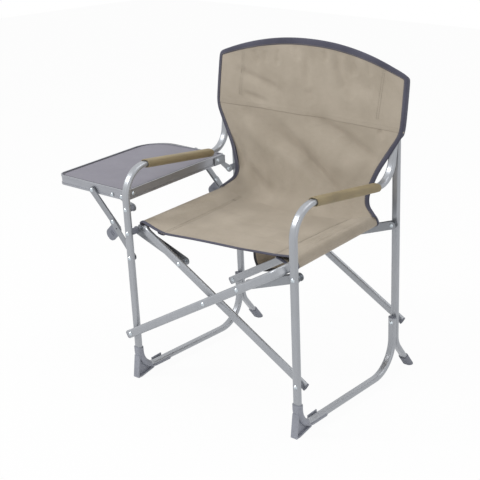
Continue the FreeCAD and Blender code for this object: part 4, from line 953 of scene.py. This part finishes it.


# the table's painted shade: a dark strip round the panel's edge inside its rim, standing in for the shadow in the
# step below the rim's lip
tableShadeStrip = {
    "wide": 0.0042, "high": 0.0009, "clear": 0.0002, "segments": 12,
    # the panel's corners, which way each lies and its radius: front, rear and two at the hinge
    "corners": [(-1, -1, 0.024), (-1, 1, 0.078), (1, -1, 0.004), (1, 1, 0.004)],
}


def boxInChair(name):
    node = cadNodes[name]
    spots = np.array([node.matrix_world @ vertex.co for vertex in node.data.vertices])
    x, y, z = spots[:, 0] - midX, spots[:, 1] - frontY, spots[:, 2]
    inChair = np.stack([
        x, y * math.cos(lean) + z * math.sin(lean), z * math.cos(lean) - y * math.sin(lean),
    ], axis=1)
    return inChair.min(axis=0), inChair.max(axis=0)


def roundCorner(piece, towardX, towardY, radius):
    bpy.ops.object.mode_set(mode="EDIT")
    bpy.ops.mesh.select_mode(type="VERT")
    bpy.ops.mesh.select_all(action="DESELECT")
    bpy.ops.object.mode_set(mode="OBJECT")
    reach = [vertex.co.x * towardX + vertex.co.y * towardY for vertex in piece.data.vertices]
    piece.data.vertices[int(np.argmax(reach))].select = True
    bpy.ops.object.mode_set(mode="EDIT")
    bpy.ops.mesh.bevel(
        offset=radius, segments=tableShadeStrip["segments"], affect="VERTICES", offset_type="OFFSET",
    )
    bpy.ops.object.mode_set(mode="OBJECT")


def layTableShadeStrip():
    low, high = boxInChair("table_panel")
    deselectAll()
    bpy.ops.mesh.primitive_plane_add(size=1)
    strip = bpy.context.object
    strip.name = "table_painted_shade_strip"
    bpy.ops.object.mode_set(mode="EDIT")
    bpy.ops.transform.resize(value=(*(high - low)[:2] - 2 * tableShadeStrip["clear"], 1))
    bpy.ops.object.mode_set(mode="OBJECT")
    for corner in tableShadeStrip["corners"]:
        roundCorner(strip, *corner)
    bpy.ops.object.mode_set(mode="EDIT")
    bpy.ops.mesh.select_all(action="SELECT")
    bpy.ops.mesh.inset(thickness=tableShadeStrip["wide"])
    bpy.ops.mesh.delete(type="FACE")
    bpy.ops.mesh.select_all(action="SELECT")
    rise = {"value": (0, 0, tableShadeStrip["high"])}
    bpy.ops.mesh.extrude_region_move(TRANSFORM_OT_translate=rise)
    bpy.ops.mesh.select_all(action="SELECT")
    bpy.ops.mesh.normals_make_consistent(inside=False)
    bpy.ops.object.mode_set(mode="OBJECT")
    middle = (low + high) / 2
    strip.rotation_euler.x = lean
    strip.location = chairPoints(middle[0], middle[1], high[2])
    bpy.ops.object.transform_apply(location=True, rotation=True, scale=True)
    # painted shade: this strip's dark colour stands in for the shadow in the step under the rim
    dress(strip, "table_painted_shade_strip")
    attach(strip, "table")


layTableShadeStrip()
print("the table is edged")


# foam sleeves on the arms: an oval tube with rolled ends, closed on the arm's own tube
armFoam = {
    "front": (0.26936, 0.09699, 0.5832), "rear": (0.2739, 0.35699, 0.54388),
    "outer": (0.031, 0.022), "bore": (0.0228, 0.0133),  # wide and thin
    # along the sleeve: share of its length and how full it is there
    "ends": [
        (0.022, 0.02), (0.006, 0.30), (0.0, 0.60), (0.003, 0.85), (0.012, 0.965), (0.028, 1.0),
    ],
    "body": (0.06, 0.94, 34), "around": 56, "swell": 0.004, "weld": 0.00005,
}


def ovalPoints(wide, thin, turn):
    flat = np.clip(np.abs(np.cos(turn)) * 1.9, 0, 1) * np.sign(np.cos(turn)) * (wide - thin) / 2
    return flat + np.cos(turn) * thin / 2, np.sin(turn) * thin / 2


def foamSleeve(side):
    front = chairPoints(side * armFoam["front"][0], *armFoam["front"][1:])
    rear = chairPoints(side * armFoam["rear"][0], *armFoam["rear"][1:])
    length = np.linalg.norm(rear - front)
    along = (rear - front) / length
    acrossWay = np.array([along[1], -along[0], 0])
    acrossWay = acrossWay / np.linalg.norm(acrossWay)
    upWay = np.cross(acrossWay, along)
    body = [(share, 1.0) for share in np.linspace(*armFoam["body"])]
    rings = armFoam["ends"] + body + [(1 - share, full) for share, full in armFoam["ends"][::-1]]
    shares, fulls = np.array(rings).T

    def place(u, v):
        at = v * (len(rings) - 1)
        share = np.interp(at, np.arange(len(rings)), shares)
        full = np.interp(at, np.arange(len(rings)), fulls)
        turn = 2 * math.pi * u
        outer = ovalPoints(*armFoam["outer"], turn)
        bore = ovalPoints(*armFoam["bore"], turn)
        swell = 1 + armFoam["swell"] * np.sin(share * 31 + turn * 2) * np.clip(full, 0, 1)
        across, up = (
            (near + (far * swell - near) * full)[:, None] for near, far in zip(bore, outer)
        )
        return front + along * (share * length)[:, None] + across * acrossWay + up * upWay

    name = "right" if side > 0 else "left"
    size = (0.085, length)
    sleeve = layCloth(
        f"{name}_arm_foam", armFoam["around"], len(rings) - 1, size, place, thick=0
    )
    bpy.ops.object.mode_set(mode="EDIT")
    bpy.ops.mesh.select_all(action="SELECT")
    bpy.ops.mesh.remove_doubles(threshold=armFoam["weld"])
    bpy.ops.mesh.normals_make_consistent(inside=False)
    bpy.ops.object.mode_set(mode="OBJECT")
    dress(sleeve, "arm_foam")
    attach(sleeve, f"{name}_frame")
    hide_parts(f"{name}_arm_sleeve")


for side in (1, -1):
    foamSleeve(side)
print("the arms are padded")


# stitches: one small twist of thread, copied along every seam
stitchShape = {
    "long": 0.0038, "thick": 0.0013, "pitch": 0.0056, "proud": 0.0008, "double": 0.006,
}


def oneStitch():
    deselectAll()
    bpy.ops.mesh.primitive_uv_sphere_add(segments=6, ring_count=4, radius=0.5)
    bead = bpy.context.object
    points = np.array([vertex.co for vertex in bead.data.vertices])
    faces = [tuple(face.vertices) for face in bead.data.polygons]
    bpy.data.objects.remove(bead)
    return points, faces


beadPoints, beadFaces = oneStitch()


def sew(name, lines):
    # each line is points on the cloth and the way out of it there
    points, faces = [], []
    for spots, ways in lines:
        gone = np.concatenate([[0], np.cumsum(np.linalg.norm(np.diff(spots, axis=0), axis=1))])
        for at in np.arange(stitchShape["pitch"] / 2, gone[-1], stitchShape["pitch"]):
            spot = np.array([np.interp(at, gone, spots[:, k]) for k in range(3)])
            ahead = np.array([np.interp(at + 0.001, gone, spots[:, k]) for k in range(3)])
            back = np.array([np.interp(at - 0.001, gone, spots[:, k]) for k in range(3)])
            along = (ahead - back) / max(np.linalg.norm(ahead - back), 1e-9)
            out = np.array([np.interp(at, gone, ways[:, k]) for k in range(3)])
            out = out / np.linalg.norm(out)
            side = np.cross(along, out)
            base = len(points)
            for bead in beadPoints:
                points.append(
                    spot + out * (stitchShape["proud"] + bead[2] * stitchShape["thick"])
                    + along * bead[0] * stitchShape["long"] + side * bead[1] * stitchShape["thick"]
                )
            faces.extend(tuple(base + corner for corner in face) for face in beadFaces)
    mesh = bpy.data.meshes.new(name)
    mesh.from_pydata(points, [], faces)
    mesh.shade_smooth()
    piece = bpy.data.objects.new(name, mesh)
    bpy.context.scene.collection.objects.link(piece)
    dress(piece, "sewing_thread")
    return piece


def faceLine(xs, ws):
    spots = facePoint(np.array(xs, float), np.array(ws, float))
    ways = np.tile(chairPoints(0, -1, 0.16) - chairPoints(0, 0, 0), (len(spots), 1))
    return spots, ways


def seatLine(xs, ys):
    xs, ys = np.array(xs, float), np.array(ys, float)
    ways = np.tile(chairPoints(0, 0, 1) - chairPoints(0, 0, 0), (len(xs), 1))
    return chairPoints(xs, ys, seatTopW(xs, ys)), ways


# the back's rows: x at either end, w at either end, how many points, and which way they double
backRows = {
    "joinHalf": 0.292, "joinUp": (0.0022, 0.0072), "joinPoints": 120, "apart": 0.0062,
    "besideSleeves": [
        (-0.219, -0.215, 0.826, 0.764, 30, -1), (-0.219, -0.219, 0.764, 0.700, 30, -1),
        (0.229, 0.221, 0.826, 0.694, 40, 1),
    ],
    "closing": [(-0.227, -0.211, 0.699, 0.697, 6), (0.219, 0.231, 0.693, 0.695, 6)],
    "rimInset": 0.0022, "rimProud": 0.0013,
}


def backSeams():
    half, count = backRows["joinHalf"], backRows["joinPoints"]
    lines = [
        faceLine(np.linspace(-half, half, count), np.full(count, backShape["seamW"] + up))
        for up in backRows["joinUp"]
    ]
    for shift in (0.0, backRows["apart"]):
        for x0, x1, w0, w1, count, way in backRows["besideSleeves"]:
            xs = np.linspace(x0 + way * shift, x1 + way * shift, count)
            lines.append(faceLine(xs, np.linspace(w0, w1, count)))
    for x0, x1, w0, w1, count in backRows["closing"]:
        lines.append(faceLine(np.linspace(x0, x1, count), np.linspace(w0, w1, count)))
    inset = (backRows["rimInset"] - rimWide)[:, None]
    lines.append((rimEdge + rimOut * inset + rimFace * backRows["rimProud"], rimFace))
    return lines


# the seat's rows: beside the rails, as y and x along them, the bar tacks at their ends, and
# one inside either hem
seatRows = {
    "y": (0.046, 0.400, 60), "rightFrom": 0.086,
    "left": ([0.03, 0.19, 0.40], [-0.157, -0.160, -0.168]),
    "right": ([0.08, 0.19, 0.30, 0.40], [0.159, 0.162, 0.168, 0.186]),
    "tacks": [(-0.160, 0.036), (-0.166, 0.325), (0.162, 0.082), (0.176, 0.330)],
    "tackHalf": 0.006, "tackPoints": 6, "tackRows": (-0.0035, 0.0035, 5),
    "hemInset": 0.0066, "hemProud": 0.0009,
}


def seatSeams():
    lines = []
    y = np.linspace(*seatRows["y"])
    leftX, rightX = (np.interp(y, *seatRows[side]) for side in ("left", "right"))
    for shift in (0.0, stitchShape["double"]):
        lines.append(seatLine(leftX - shift, y))
        lines.append(seatLine(rightX + shift, np.clip(y, seatRows["rightFrom"], 1)))
    half, count = seatRows["tackHalf"], seatRows["tackPoints"]
    for tackX, tackY in seatRows["tacks"]:
        tack = np.linspace(tackX - half, tackX + half, count)
        for row in np.linspace(*seatRows["tackRows"]):
            lines.append(seatLine(tack, np.full(count, tackY + row)))
    inset, proud = seatRows["hemInset"], seatRows["hemProud"]
    for edge, outward, face in (frontHem, rearHem):
        lines.append((edge - outward * inset + face * proud, face))
    return lines


squashWithFold(sew("back_stitching", backSeams()))
blendWithRails(sew("seat_stitching", seatSeams()))
print("the seams are sewn")
